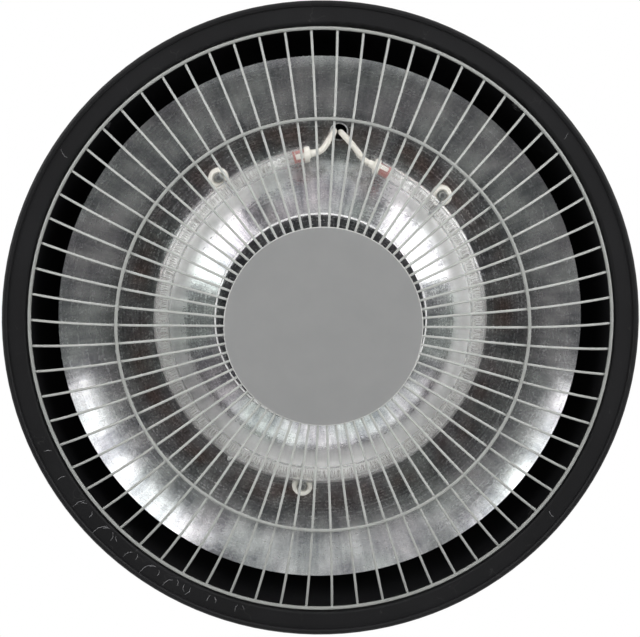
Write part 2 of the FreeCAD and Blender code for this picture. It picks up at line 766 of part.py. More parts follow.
def make_filament():
    """A helix wound along the ring, eased in and out at its ends, on arcs in pairs."""
    first, span = filament_span()
    ring, height = value("lamp_radius"), value("lamp_z")
    coil, wire, turns = value("filament_radius"), value("filament_wire"), int(value("filament_turns"))
    straight = value("filament_tail")
    tail = math.degrees(straight / ring)

    def spot(turn):
        inside = min(1, turn, turns - turn)
        ease = inside ** 2 * (3 - 2 * inside)
        swing = 2 * math.pi * turn
        along = first + tail + (span - 2 * tail) * turn / turns
        place = around(ring + coil * ease * math.cos(swing), along, height)
        return place + Vector(0, 0, coil * ease * math.sin(swing))

    def heading(turn):
        step = 1e-4
        low, high = max(turn - step, 0), min(turn + step, turns)
        return (spot(high) - spot(low)).normalize()

    stations = [number / 4 for number in range(4 * turns + 1)]
    spots = [spot(turn) for turn in stations]
    headings = [heading(turn) for turn in stations]
    start, end = spots[0] - headings[0] * straight, spots[-1] + headings[-1] * straight
    edges = [Part.LineSegment(start, spots[0]).toShape()]
    for here, there, leave, arrive in zip(spots, spots[1:], headings, headings[1:]):
        gap, both = there - here, leave + arrive
        spread = 2 * (1 - leave.dot(arrive))
        root = math.sqrt(gap.dot(both) ** 2 + spread * gap.dot(gap))
        reach = (root - gap.dot(both)) / spread
        joint = (here + leave * reach + there - arrive * reach) / 2
        edges.append(arc_from(here, leave, joint))
        edges.append(arc_from(joint, (there - arrive * reach - here - leave * reach).normalize(), there))
    edges.append(Part.LineSegment(spots[-1], end).toShape())
    node("lamp_filament", feature("filament", [piped(Part.Wire(edges), wire)]))
    least = min((spot(turn / 16) - spot(turn / 16 + 1 + shift / 16)).Length
                for turn in range(16 * (turns - 2)) for shift in range(-6, 7))
    print(f"lamp_filament: {turns} turns, least gap to itself {least - 2 * wire:.2f} mm")
    make_supports(first, span)


def make_supports(first, span):
    """Thin rings that keep the filament off the glass."""
    count = int(value("support_count"))
    outer, inner = value("bore_radius - seat_gap"), value("filament_radius + filament_wire + seat_gap")
    rings = []
    for number in range(count):
        turn = first + span * (number + 0.5) / count
        place = around(value("lamp_radius"), turn, value("lamp_z"))
        angle = math.radians(turn)
        along = Vector(math.cos(angle), math.sin(angle), 0)
        foot = place - along * value("support_sheet") / 2
        disc = Part.makeCylinder(outer, value("support_sheet"), foot, along)
        rings.append(disc.cut(Part.makeCylinder(inner, value("support_sheet"), foot, along)))
    node("filament_supports", feature("support_rings", rings))


# Lamp holders: ceramic insulators on the reflector, each with a spring wire round the tube

def make_holders():
    post = cylinder("insulator_blank", "insulator_radius", "seat_z - insulator_foot - seat_gap",
                    "0", "-insulator_reach", "insulator_foot")
    hole = cylinder("insulator_bore", "insulator_screw + seat_gap", "2 * (seat_z - insulator_foot)",
                    "0", "-insulator_reach", "insulator_foot - 1")
    node("lamp_insulators", turned_copies("insulators", cut("insulator", post, hole), insulator_angles()))
    head_top = "insulator_foot - 2 * clip_wire - 2 * seat_gap"
    head = cone("insulator_head", "1.1 * insulator_screw", "insulator_head", "1.4 * insulator_screw",
                "0", "-insulator_reach", f"{head_top} - 1.4 * insulator_screw")
    nut_foot = "seat_z + reflector_sheet + seat_gap"
    length = f"{nut_foot} + 3 * insulator_screw - ({head_top})"
    shank = cylinder("insulator_shank", "insulator_screw", length, "0", "-insulator_reach", head_top)
    screw = fuse("insulator_screw_one", head, shank)
    node("insulator_screws", turned_copies("insulator_screw_set", screw, insulator_angles()))
    blank = prism("insulator_nut_blank", "1.9 * insulator_screw", "1.6 * insulator_screw",
                  "0", "-insulator_reach", nut_foot)
    bore = cylinder("insulator_nut_bore", "insulator_screw + seat_gap", "8 * insulator_screw",
                    "0", "-insulator_reach", nut_foot)
    nut = cut("insulator_nut_one", blank, bore)
    node("insulator_nuts", turned_copies("insulator_nut_set", nut, insulator_angles()))
    make_clips()


def make_clips():
    wire, gap, bend = value("clip_wire"), value("seat_gap"), value("clip_bend")
    aside = value("insulator_screw") + wire + 2 * gap
    ring, height = value("lamp_radius"), value("lamp_z")
    loop = value("tube_radius") + wire + gap
    top = value("insulator_foot") - wire - gap

    def spot(reach, z):
        return Vector(aside, -reach, z)

    outer, inner = ring + loop, ring - loop
    end = value("insulator_reach + 2 * insulator_screw")
    corner = math.sqrt(0.5) * bend
    path = Part.Wire([
        Part.LineSegment(spot(end, top), spot(outer + bend, top)).toShape(),
        Part.Arc(spot(outer + bend, top), spot(outer + bend - corner, top - bend + corner),
                 spot(outer, top - bend)).toShape(),
        Part.LineSegment(spot(outer, top - bend), spot(outer, height)).toShape(),
        Part.Arc(spot(outer, height), spot(ring, height - loop), spot(inner, height)).toShape(),
        Part.LineSegment(spot(inner, height), spot(inner, height + value("clip_hook"))).toShape(),
    ])
    clip = piped(path, wire)
    node("lamp_clips", feature("clips", [turned(clip, angle) for angle in insulator_angles()]))


# Leads: sleeved wires from the plugs through the reflector to the terminal block

# Above the reflector: shares of the way over to the terminal block, and of the rise
LEAD_BEND = ((0, 0.28), (0.26, 0.68), (0.65, 0.94), (1, 1))


def make_leads():
    ring, height = value("lamp_radius"), value("lamp_z")
    seat = value("seat_z")
    hole = around(value("lead_hole_reach"), value("lead_hole_turn"), seat)
    radius = value("lead_radius")
    block_y = -value("block_front + seat_gap")
    rise, over = value("wire_z") - seat, block_y - value("lead_straight") - hole.y
    for side, (end, way) in LAMP_ENDS.items():
        nose = value(f"{end} - ({way}) * {along_ring('plug_flange + nose_length + seat_gap')}")
        start = around(ring, nose, height)
        angle = math.radians(nose)
        out = Vector(math.cos(angle), math.sin(angle), 0) * -way
        bore_x = hole.x + way * value("lead_radius + lead_gap")
        aside = hole.x + way * value("block_pitch / 2") - bore_x
        points = [start, start + out * value("lead_run"), Vector(bore_x, hole.y, seat - value("lead_dip"))]
        for share, lift in LEAD_BEND:
            points.append(Vector(bore_x + aside * share, hole.y + over * share, seat + rise * lift))
        points.append(Vector(bore_x + aside, block_y, seat + rise))
        path, radii = rounded_path(points)
        lead = piped(path, radius)
        node(f"lamp_lead_{side}", feature(f"lead_{side}", [lead]))
        share = lead.Volume / (math.pi * radius ** 2 * path.Length)
        print(f"lamp_lead_{side}: {path.Length:.1f} mm, volume {share:.4f} of section times length,",
              "bend radii", " ".join(f"{bend:.1f}" for bend in radii))


# Middle stud: carries the reflector, the hood, the cover and the bracket

def make_stud():
    node("centre_stud", cylinder("stud", "stud_radius", "stud_top - stud_bottom", z="stud_bottom"))
    foot = "plateau_z + reflector_sheet + seat_gap"
    long = f"crown_z - seat_gap - ({foot})"
    tube = cylinder("spacer_outside", "spacer_radius", long, z=foot)
    bore = cylinder("spacer_bore", "stud_radius + seat_gap", long, z=foot)
    node("spacer_tube", cut("spacer", tube, bore))
    seats = {"low": ("plateau_z", -1), "roof": ("roof_z", 1), "top": ("saddle_z", 1)}
    nuts, washers = [], []
    for name, (face, way) in seats.items():
        near = "seat_gap" if way > 0 else "-seat_gap - washer_sheet"
        disc = cylinder(f"washer_blank_{name}", "stud_washer", "washer_sheet", z=f"{face} + ({near})")
        hole = cylinder(f"washer_bore_{name}", "stud_radius + seat_gap", "washer_sheet",
                        z=f"{face} + ({near})")
        washers.append(cut(f"washer_{name}", disc, hole))
        far = "washer_sheet + 2 * seat_gap" if way > 0 else "-washer_sheet - 2 * seat_gap - stud_nut_height"
        hexagon = prism(f"nut_blank_{name}", "stud_nut", "stud_nut_height", z=f"{face} + ({far})")
        thread = cylinder(f"nut_bore_{name}", "stud_radius + seat_gap", "stud_nut_height",
                          z=f"{face} + ({far})")
        nuts.append(cut(f"nut_{name}", hexagon, thread))
    node("stud_washers", group("washers", *washers))
    node("stud_nuts", group("nuts", *nuts))


# Top cover: a drawn steel cup with flats for the switch and the cable gland

def flatted_round(name, radius, flat, height, z):
    """A round block with flats at front and back."""
    drum = cylinder(name + "_round", radius, height, z=z)
    slab = box(name + "_slab", f"3 * ({radius})", f"2 * ({flat})", height, "0", "0", z)
    return common(name, drum, slab)


def make_top_cover():
    shell = flatted_round("cover_outside", "cover_radius", "cover_flat", "cover_height", "foot_z")
    doc.recompute()
    rounded = doc.addObject("Part::Fillet", "cover_rounded")
    rounded.Base = shell
    top = value("lid_z")
    rounded.Edges = [
        (number, value("cover_edge"), value("cover_edge"))
        for number, edge in enumerate(shell.Shape.Edges, 1)
        if min(vertex.Z for vertex in edge.Vertexes) > top - 0.01
    ]
    hollow = flatted_round("cover_hollow", "cover_radius - cover_sheet", "cover_flat - cover_sheet",
                           "cover_height - cover_sheet", "foot_z")
    doc.recompute()
    hollow_round = doc.addObject("Part::Fillet", "cover_hollow_rounded")
    hollow_round.Base = hollow
    ceiling = value("lid_z - cover_sheet")
    bend = value("cover_edge - cover_sheet")
    hollow_round.Edges = [
        (number, bend, bend)
        for number, edge in enumerate(hollow.Shape.Edges, 1)
        if min(vertex.Z for vertex in edge.Vertexes) > ceiling - 0.01
    ]
    stud = cylinder("cover_stud_hole", "stud_radius + seat_gap", "4 * cover_sheet",
                    z="lid_z - 2 * cover_sheet")
    gland = cylinder("cover_gland_hole", "gland_thread + seat_gap", "4 * cover_sheet",
                     "0", "cover_flat - 3 * cover_sheet", "fitting_z", (0, 1, 0))
    switch = box("cover_switch_hole", "switch_width - 2 * seat_gap", "4 * cover_sheet",
                 "switch_height - 2 * seat_gap", "0", "-cover_flat",
                 "fitting_z - switch_height / 2 + seat_gap")
    node("top_cover", cut("cover_cut", rounded, hollow_round, stud, gland, switch))
    seal = flatted_round("gasket_outside", "cover_radius", "cover_flat", "gasket_height - 2 * seat_gap",
                         "roof_z + seat_gap")
    inside = flatted_round("gasket_inside", "cover_radius - gasket_width", "cover_flat - gasket_width",
                           "gasket_height - 2 * seat_gap", "roof_z + seat_gap")
    node("cover_gasket", cut("gasket", seal, inside))


# Terminal block under the crown, and the earth screw above it

def make_terminals():
    middle = "block_y"
    block = box("block_blank", "block_length", "block_width", "block_height - seat_gap",
                "block_x", middle, "crown_z - block_height")
    fixing, poles, tools = [], [], []
    for side, sign in (("left", "-"), ("right", "+")):
        x = f"block_x {sign} block_screw_pitch / 2"
        tools.append(cylinder(f"block_fixing_hole_{side}", "block_screw + seat_gap", "3 * block_height",
                              x, middle, "crown_z - 2 * block_height"))
        fixing.append(fuse(
            f"block_fixing_{side}",
            cylinder(f"block_shank_{side}", "block_screw", "block_height + 3 * hood_sheet",
                     x, middle, "crown_z - block_height - seat_gap"),
            cylinder(f"block_head_{side}", "2 * block_screw", "1.4 * block_screw",
                     x, middle, "crown_z - block_height - seat_gap - 1.4 * block_screw")))
        x = f"block_x {sign} block_pitch / 2"
        tools.append(cylinder(f"pole_hole_{side}", "terminal_screw + seat_gap", "block_height / 2",
                              x, middle, "crown_z - 1.1 * block_height"))
        poles.append(cylinder(f"pole_screw_{side}", "terminal_screw", "0.3 * block_height",
                              x, middle, "crown_z - 0.9 * block_height"))
    node("terminal_block", cut("block", block, *tools))
    node("block_screws", group("block_fixings", *fixing))
    node("terminal_screws", group("pole_screws", *poles))


def make_inner_wire():
    """From the terminal block, through a bush in the crown, to the lower blade of the switch."""
    lip_z = "crown_z - bush_lip"
    place = ("block_x", "-bush_reach")
    waist = cylinder("bush_waist", "bush_radius - seat_gap", "hood_sheet + 2 * bush_lip", *place, lip_z)
    lips = [cylinder(f"bush_lip_{name}", "bush_flange", "bush_lip - seat_gap", *place, foot)
            for name, foot in (("low", lip_z), ("high", "roof_z + seat_gap"))]
    passage = cylinder("bush_passage", "bush_bore", "10 * bush_lip", *place, "crown_z - 5 * bush_lip")
    node("wire_bush", cut("bush", fuse("bush_blank", waist, *lips), passage))
    crown, wire_z = value("crown_z"), value("wire_z")
    x, pole = value("block_x"), value("block_x - block_pitch / 2")
    bore, reach = value("bush_bore"), value("bush_reach")
    blade_end = value("switch_depth + blade_length + 2 * seat_gap - cover_flat")
    blade_z = value("fitting_z - blade_drop + blade_sheet / 2")
    points = [
        Vector(pole, value("block_width - block_front + seat_gap"), wire_z),
        Vector(pole, -reach - bore, wire_z),
        Vector(x, -reach, crown),
        Vector(pole, -reach, crown + value("inner_wire_rise")),
        Vector(0, blade_end + value("inner_wire_straight"), blade_z),
        Vector(0, blade_end, blade_z),
    ]
    path, radii = rounded_path(points)
    node("switch_wire", feature("inner_wire_run", [piped(path, value("inner_wire"))]))
    print(f"switch_wire: {path.Length:.1f} mm, bend radii", " ".join(f"{bend:.1f}" for bend in radii))


def make_earth():
    head_z = "roof_z + seat_gap"
    shank = cylinder("earth_shank", "earth_screw", "6 * earth_screw", "-earth_reach", "0",
                     f"{head_z} - 6 * earth_screw")
    head = cylinder("earth_head", "2 * earth_screw", "1.3 * earth_screw", "-earth_reach", "0", head_z)
    node("earth_screw", fuse("earth_screw_one", shank, head))
    foot = "crown_z - seat_gap - 1.6 * earth_screw"
    blank = prism("earth_nut_blank", "1.75 * earth_screw", "1.6 * earth_screw", "-earth_reach", "0", foot)
    bore = cylinder("earth_nut_bore", "earth_screw + seat_gap", "2 * earth_screw", "-earth_reach", "0",
                    f"{foot} - 0.2 * earth_screw")
    node("earth_nut", cut("earth_nut_one", blank, bore))


# Cable gland at the back of the cover

def make_gland():
    back = (0, 1, 0)
    face = "cover_flat + seat_gap"
    throat = f"{face} + gland_collar_length"
    inside = "bore_wall - locknut_height - 2 * cover_sheet"
    thread = cylinder("gland_thread_blank", "gland_thread", f"{throat} - ({inside})",
                      "0", inside, "fitting_z", back)
    collar = prism("gland_collar_blank", "gland_collar", "gland_collar_length", "0", face, "fitting_z", back)
    sleeve = cylinder("gland_sleeve_blank", "gland_thread", "gland_throat", "0", throat, "fitting_z", back)
    bore = cylinder("gland_bore_cut", "gland_bore", "2 * cover_flat", "0", "0", "fitting_z", back)
    node("gland_body", cut("gland_one", fuse("gland_blank", thread, collar, sleeve), bore))
    nut = prism("locknut_blank", "gland_collar", "locknut_height", "0",
                "bore_wall - seat_gap - locknut_height", "fitting_z", back)
    hole = cylinder("locknut_bore", "gland_thread + seat_gap", "3 * locknut_height", "0",
                    "bore_wall - 2 * locknut_height", "fitting_z", back)
    node("gland_locknut", cut("locknut", nut, hole))
    foot = f"{throat} + seat_gap"
    end = "gland_throat + 2 * seat_gap"
    grip = prism("gland_nut_flats", "gland_collar", "gland_grip", "0", foot, "fitting_z", back)
    dome = cone("gland_nut_dome", "gland_collar", "gland_nut_mouth + gland_nut_lip",
                f"{end} + gland_nut_end - gland_grip", "0", f"{foot} + gland_grip", "fitting_z", back)
    inner = cylinder("gland_nut_thread", "gland_thread + seat_gap", end, "0", foot, "fitting_z", back)
    mouth = cylinder("gland_nut_hole", "gland_nut_mouth", f"2 * ({end})", "0", foot, "fitting_z", back)
    node("gland_nut", cut("gland_nut_one", fuse("gland_nut_blank", grip, dome), inner, mouth))
    seal_foot = f"{throat} + gland_throat - seal_length"
    ring = cylinder("seal_blank", "gland_bore - seat_gap", "seal_length", "0", seal_foot, "fitting_z", back)
    passage = cylinder("seal_passage", "cable_radius", "3 * seal_length", "0",
                       f"{seal_foot} - seal_length", "fitting_z", back)
    node("gland_seal", cut("gland_seal_one", ring, passage))


# Rocker switch at the front of the cover

def make_switch():
    x, middle = "0", "fitting_z"
    outer = box("switch_case", "switch_width - 4 * seat_gap", "switch_depth", "switch_height - 4 * seat_gap",
                x, "-cover_flat + switch_depth / 2", "fitting_z - switch_height / 2 + 2 * seat_gap")
    flange = box("switch_bezel", "switch_width + 2 * switch_wall", "bezel",
                 "switch_height + 2 * switch_wall", x, "-cover_flat - bezel / 2 - seat_gap",
                 "fitting_z - switch_height / 2 - switch_wall")
    joined = box("switch_throat", "switch_width - 4 * seat_gap", "2 * bezel", "switch_height - 4 * seat_gap",
                 x, "-cover_flat", "fitting_z - switch_height / 2 + 2 * seat_gap")
    well_depth = "2 * rocker_depth + bezel"
    well = box("switch_well", "rocker_width + 2 * switch_room", well_depth,
               "switch_height - 2 * switch_wall", x, "-cover_flat - bezel",
               "fitting_z - switch_height / 2 + switch_wall")
    pivots = cylinder("switch_pivot_holes", "rocker_pin + pin_clearance", "rocker_width + 2 * switch_wall",
                      "-rocker_width / 2 - switch_wall", "-rocker_axis", middle, (1, 0, 0))
    node("switch_frame", cut("switch", fuse("switch_blank", outer, flange, joined), well, pivots))
    make_rocker()
    blades = [box(f"blade_{name}", "blade_width", "blade_length", "blade_sheet", x,
                  "-cover_flat + switch_depth + seat_gap + blade_length / 2", f"fitting_z {rise} blade_drop")
              for name, rise in (("low", "-"), ("high", "+"))]
    node("switch_blades", group("blades", *blades))


def make_rocker():
    """Shown switched off: its lower half is pressed in."""
    half = "rocker_height / 2"
    body = new_body("rocker")
    outline = plane_sketch(body, "rocker_outline", "YZ_Plane")
    horn = "-rocker_depth / 2 - rocker_horn"
    trace(outline, [
        (horn, half),
        ("rocker_dip - rocker_depth / 2", "0"),
        (horn, f"-({half})"),
        ("0", f"-({half})"),
        ("rocker_depth / 2", "0"),
        ("0", half),
    ])
    pad(body, outline, "rocker_width")
    pins = plane_sketch(body, "rocker_pins", "YZ_Plane")
    ring_in(pins, "rocker_pin")
    pad(body, pins, "rocker_width + 2 * rocker_pin_length")
    body.Placement = Placement(Vector(0, -value("rocker_axis"), value("fitting_z")),
                               Rotation(Vector(1, 0, 0), -value("rocker_tilt")))
    bind(body, "Placement.Base.y", "-rocker_axis")
    bind(body, "Placement.Base.z", "fitting_z")
    node("switch_rocker", body)


# Hanger: a bracket on the cover, a pin and the link with the hanging eye

def make_hanger():
    body = new_body("bracket")
    outline = plane_sketch(body, "bracket_outline", "XZ_Plane")
    top = "pin_z + ear_radius"
    trace(outline, [
        ("-ear_outer", "lid_z + seat_gap"),
        ("ear_outer", "lid_z + seat_gap"),
        ("ear_outer", top),
        ("ear_inner", top),
        ("ear_inner", "saddle_z"),
        ("-ear_inner", "saddle_z"),
        ("-ear_inner", top),
        ("-ear_outer", top),
    ])
    pad(body, outline, "bracket_width")
    doc.recompute()
    blank = common("bracket_trimmed", body, bracket_side())
    stud = cylinder("bracket_stud_hole", "stud_radius + seat_gap", "4 * bracket_sheet",
                    z="lid_z - bracket_sheet")
    pivot = cylinder("bracket_pin_hole", "hanger_pin + seat_gap", "4 * ear_outer",
                     "-2 * ear_outer", "0", "pin_z", (1, 0, 0))
    node("hanger_bracket", cut("bracket_cut", blank, stud, pivot))
    shank_length = "2 * ear_outer + 3 * seat_gap + clip_ring_sheet + pin_tail"
    shank = cylinder("pin_shank", "hanger_pin", shank_length,
                     "-ear_outer - seat_gap", "0", "pin_z", (1, 0, 0))
    head = cylinder("pin_head", "hanger_pin_head", "hanger_pin_head_height",
                    "-ear_outer - seat_gap - hanger_pin_head_height", "0", "pin_z", (1, 0, 0))
    node("hanger_pin", fuse("hanger_pin_one", shank, head))
    ring = cylinder("clip_ring_blank", "clip_ring", "clip_ring_sheet",
                    "ear_outer + seat_gap", "0", "pin_z", (1, 0, 0))
    bore = cylinder("clip_ring_bore", "hanger_pin + seat_gap", "clip_ring_sheet",
                    "ear_outer + seat_gap", "0", "pin_z", (1, 0, 0))
    mouth = box("clip_ring_mouth", "3 * clip_ring_sheet", "1.2 * hanger_pin", "clip_ring",
                "ear_outer", "0", "pin_z - clip_ring")
    node("hanger_pin_clip", cut("clip_ring_one", ring, bore, mouth))
    bushes = []
    long = "ear_inner - link_sheet / 2 - side_clearance - seat_gap"
    for name, start in (("left", "-ear_inner + seat_gap"), ("right", "link_sheet / 2 + side_clearance")):
        outside = cylinder(f"bush_outside_{name}", "1.8 * hanger_pin", long, start, "0", "pin_z", (1, 0, 0))
        inside = cylinder(f"bush_bore_{name}", "hanger_pin + seat_gap", long, start, "0", "pin_z", (1, 0, 0))
        bushes.append(cut(f"bush_{name}", outside, inside))
    node("hanger_bushes", group("bushes", *bushes))
    make_link()


def bracket_side():
    """The bracket seen along the pin: straight sides with a round top."""
    round_top = cylinder("ear_round", "ear_radius", "4 * ear_outer",
                         "-2 * ear_outer", "0", "pin_z", (1, 0, 0))
    straight = box("ear_straight", "4 * ear_outer", "bracket_width", "pin_z - lid_z", "0", "0", "lid_z")
    return fuse("ear_side", round_top, straight)


def make_link():
    body = new_body("link")
    outline = plane_sketch(body, "link_outline", "YZ_Plane")
    trace(outline, [
        ("-link_width", "pin_z"),
        ("0", "pin_z - link_width", "link_width", 1),
        ("link_width", "pin_z", "link_width", 1),
        ("link_width", "0"),
        ("0", "link_width", "link_width", 1),
        ("-link_width", "0", "link_width", 1),
    ])
    ring_in(outline, "hanger_pin + pin_clearance", "0", "pin_z")
    ring_in(outline, "eye_radius")
    pad(body, outline, "link_sheet")
    node("hanger_link", body)


def check():
    doc.recompute()
    for thing in doc.Objects:
        if "Invalid" in thing.State or "Error" in thing.State:
            raise RuntimeError(f"{thing.Label} failed: {thing.State}")
    for piece in NODES:
        shape = piece.Shape
        if shape.isNull() or not shape.isValid() or not shape.Solids:
            raise RuntimeError(f"{piece.Label} has no valid solid")


def write():
    os.makedirs("parts", exist_ok=True)
    for piece in NODES:
        piece.Shape.exportStep(f"parts/{piece.Label}.step")
    print(f"{len(NODES)} nodes, eye to rim plane {value('eye_height'):.1f} mm")


make_hood()
make_reflector()
make_guard()
make_lamp()
make_holders()
make_leads()
make_stud()
make_top_cover()
make_terminals()
make_inner_wire()
make_earth()
make_gland()
make_switch()
make_hanger()
check()
write()
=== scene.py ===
import json
import math

import bmesh
import bpy
import numpy as np
from mathutils import Matrix, Vector


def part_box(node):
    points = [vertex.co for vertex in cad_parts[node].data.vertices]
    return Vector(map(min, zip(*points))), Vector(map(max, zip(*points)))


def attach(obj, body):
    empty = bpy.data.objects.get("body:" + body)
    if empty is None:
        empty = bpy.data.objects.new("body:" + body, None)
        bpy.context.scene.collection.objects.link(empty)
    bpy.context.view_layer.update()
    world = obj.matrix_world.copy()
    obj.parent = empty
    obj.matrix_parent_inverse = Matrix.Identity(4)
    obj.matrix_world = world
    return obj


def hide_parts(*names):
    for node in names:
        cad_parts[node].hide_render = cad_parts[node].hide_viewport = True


# Hanging infrared patio heater, seen from straight below. Lengths are in millimetres until a mesh is made,
# and turns are in degrees from the front, clockwise in the picture.

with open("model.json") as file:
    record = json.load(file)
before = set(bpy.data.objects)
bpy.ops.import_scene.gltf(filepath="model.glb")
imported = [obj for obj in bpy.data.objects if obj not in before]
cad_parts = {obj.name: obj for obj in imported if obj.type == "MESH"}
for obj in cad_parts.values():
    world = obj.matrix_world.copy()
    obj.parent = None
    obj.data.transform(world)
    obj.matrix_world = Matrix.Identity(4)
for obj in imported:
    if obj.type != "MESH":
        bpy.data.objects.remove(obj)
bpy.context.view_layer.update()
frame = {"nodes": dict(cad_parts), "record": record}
nodes = frame["nodes"]

MM = 0.001

# Sizes that the dressed pieces share with the solids
RIM_Z = -203.27
PLATEAU_Z = RIM_Z + 20.0
SEAT_REACH, SEAT_Z = 108.46, -164.1
REFLECTOR_EDGE, REFLECTOR_SHEET = 176.6, 0.8
LAMP_RING, LAMP_Z = 107.5, RIM_Z + 27.0
TUBE, TUBE_BORE = 5.5, 4.3
TIP_TURN = 213.0
FILAMENT_DEPTH = 24.15
LEAD_RADIUS, LEAD_START, LEAD_END = 2.1, -7.65, 19.5
BLOCK_Y, BLOCK_Z = -52.05, -108.6
INSULATORS, INSULATOR_REACH = (-36.0, 45.0, 186.0), 117.0
SPOKES, SPOKE_PHASE = 70, 0.1

# Each end of the tube by its turn and the way from there into the tube
LAMP_ENDS = {"left": (-5.7, -1), "right": (21.3, 1)}

# How far each end bows out and over what length, and for how many degrees the bow goes on outside the tube
LAMP_BOWS = {"left": (3.2, 46.0), "right": (1.4, 26.0)}
BOW_OUTSIDE = 10.0

# The leads' hole by its reach and turn
LEAD_HOLE, LEAD_HOLE_RADIUS = (126.5, 5.9), 5.5

# Pale hair marks on the brim: turn, reach, length, bow and lean
RUB_MARKS = (
    (233.0, 199, 9, 1.6, 12), (230.5, 199.5, 5, -1.2, -30), (226.4, 198.8, 12, 2.2, 20),
    (224.8, 199.2, 6, -1.5, -35), (223.8, 199.6, 4, 1.0, -50), (219.5, 200.5, 7, 0.8, 25),
    (214.8, 199.6, 10, 1.8, 30), (213.2, 200.2, 4, -0.9, -20), (210.0, 201.0, 8, 1.6, 35),
    (207.5, 200.0, 5, 1.4, -15), (206.2, 200.2, 6, -1.6, 10), (239.0, 200.0, 6, 1.0, 5),
    (244.5, 200.0, 5, 0.8, 25), (53.0, 201.5, 5, 0.7, -20), (130.0, 200.5, 5, 0.9, 15),
    (303.0, 200.5, 7, -1.1, 20), (232.2, 199.2, 4, 0.9, 50), (225.6, 198.9, 5, 0.8, 55),
    (218.4, 199.5, 4, -0.8, -25), (214.0, 199.3, 5, 1.2, 60), (209.2, 199.4, 4, -0.9, -35),
    (202.0, 199.4, 5, 1.0, 20), (201.2, 199.6, 4, -0.8, -30), (196.5, 199.8, 5, 0.9, 10),
    (195.6, 199.5, 3, -0.6, -40),
)

# Lights by their turn, angle from straight down, distance, width and height in metres, and glow
LIGHTS = (
    ("softbox_right", 59, 57, 1.8, 1.1, 1.4, 2.9),
    ("softbox_left", 301, 61, 1.8, 1.1, 1.2, 2.9),
    ("fill_right", 62, 56, 1.7, 1.2, 1.4, 2.3),
    ("fill_left", 298, 56, 1.7, 1.2, 1.4, 2.3),
    ("fill_back", 180, 35, 1.7, 1.2, 1.2, 0.8),
    ("panel_front", 0, 46, 1.9, 1.3, 1.9, 0.52),
    ("panel_back", 176, 66, 2.2, 5.4, 0.6, 1.3),
    ("softbox_above", 20, 155, 2.4, 1.6, 1.6, 4.2),
)
LIGHTS_GOAL = (0.0, 0.0, -0.18)
FLOOR_Z, FLOOR_HALF = -3.0, 4.5


# Helpers for meshes

def around(radius, turn, z):
    """A point by its distance from the axis, its angle from the front and its height."""
    angle = math.radians(turn)
    return Vector((radius * math.sin(angle), -radius * math.cos(angle), z))


def spun(outline, steps):
    """Vertices and quads of a closed outline of (radius, height) spun about Z."""
    ring = np.array(outline, float)
    angles = np.linspace(0, 2 * math.pi, steps, endpoint=False)
    verts = np.stack([
        np.outer(np.cos(angles), ring[:, 0]),
        np.outer(np.sin(angles), ring[:, 0]),
        np.tile(ring[:, 1], (steps, 1)),
    ], axis=-1).reshape(-1, 3)
    count = len(ring)
    faces = [
        (i * count + j, ((i + 1) % steps) * count + j,
         ((i + 1) % steps) * count + (j + 1) % count, i * count + (j + 1) % count)
        for i in range(steps) for j in range(count)
    ]
    return verts, faces


def swept(points, radii, sides, capped=True):
    """A tube along points with a radius for each, its faces, and the length run at each point."""
    line = [Vector(point) for point in points]
    ahead = [(after - before).normalized() for before, after in zip(line, line[1:])]
    along = [ahead[0]] + [(a + b).normalized() for a, b in zip(ahead, ahead[1:])] + [ahead[-1]]
    side = along[0].orthogonal().normalized()
    verts, faces, lengths, travelled = [], [], [], 0.0
    for number, (spot, way) in enumerate(zip(line, along)):
        if number:
            side = along[number - 1].rotation_difference(way) @ side
            travelled += (spot - line[number - 1]).length
        lengths.append(travelled)
        other = way.cross(side)
        for turn in range(sides):
            angle = 2 * math.pi * turn / sides
            verts.append(spot + (side * math.cos(angle) + other * math.sin(angle)) * radii[number])
    for number in range(len(line) - 1):
        for turn in range(sides):
            here, there = number * sides, (number + 1) * sides
            following = (turn + 1) % sides
            faces.append((here + turn, here + following, there + following, there + turn))
    if capped:
        faces.append(tuple(reversed(range(sides))))
        faces.append(tuple(range(len(verts) - sides, len(verts))))
    return verts, faces, lengths


def stood(name, data):
    """A new object in the scene."""
    thing = bpy.data.objects.new(name, data)
    bpy.context.scene.collection.objects.link(thing)
    return thing


def mesh_of(name, verts, faces):
    """A mesh from points in millimetres."""
    mesh = bpy.data.meshes.new(name)
    mesh.from_pydata([tuple(float(x) * MM for x in vert) for vert in verts], [], faces)
    return mesh


def made(name, verts, faces, material, body, stands_for=(), slot=None, sharp=40, weld=True):
    """A finished piece from points in millimetres: normals outwards, smooth apart from sharp edges."""
    mesh = mesh_of(name, verts, faces)
    if weld:
        shape = bmesh.new()
        shape.from_mesh(mesh)
        bmesh.ops.remove_doubles(shape, verts=shape.verts, dist=1e-6)
        bmesh.ops.recalc_face_normals(shape, faces=shape.faces)
        shape.to_mesh(mesh)
        shape.free()
    return dressed(name, mesh, material, body, stands_for, sharp)


def dressed(name, mesh, material, body, stands_for=(), sharp=40):
    """The object of a finished mesh, riding on its body."""
    mesh.polygons.foreach_set("use_smooth", [True] * len(mesh.polygons))
    mesh.set_sharp_from_angle(angle=math.radians(sharp))
    mesh.materials.clear()
    mesh.materials.append(material)
    piece = stood(name, mesh)
    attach(piece, body)
    if stands_for:
        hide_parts(*stands_for)
    return piece


def joined(*parts):
    """Several (verts, faces) as one."""
    verts, faces = [], []
    for part in parts:
        start = len(verts)
        verts.extend(part[0])
        faces.extend(tuple(index + start for index in face) for face in part[1])
    return verts, faces


def placed(part, matrix):
    """A part's points moved by a matrix."""
    return [matrix @ Vector(vert) for vert in part[0]], part[1]


def facing(spot, axis):
    """A matrix that takes Z to an axis and the origin to a spot."""
    axis = Vector(axis).normalized()
    side = axis.orthogonal()
    across = axis.cross(side).normalized()
    side = across.cross(axis)
    turn = Matrix((side, across, axis)).transposed().to_4x4()
    return Matrix.Translation(Vector(spot)) @ turn


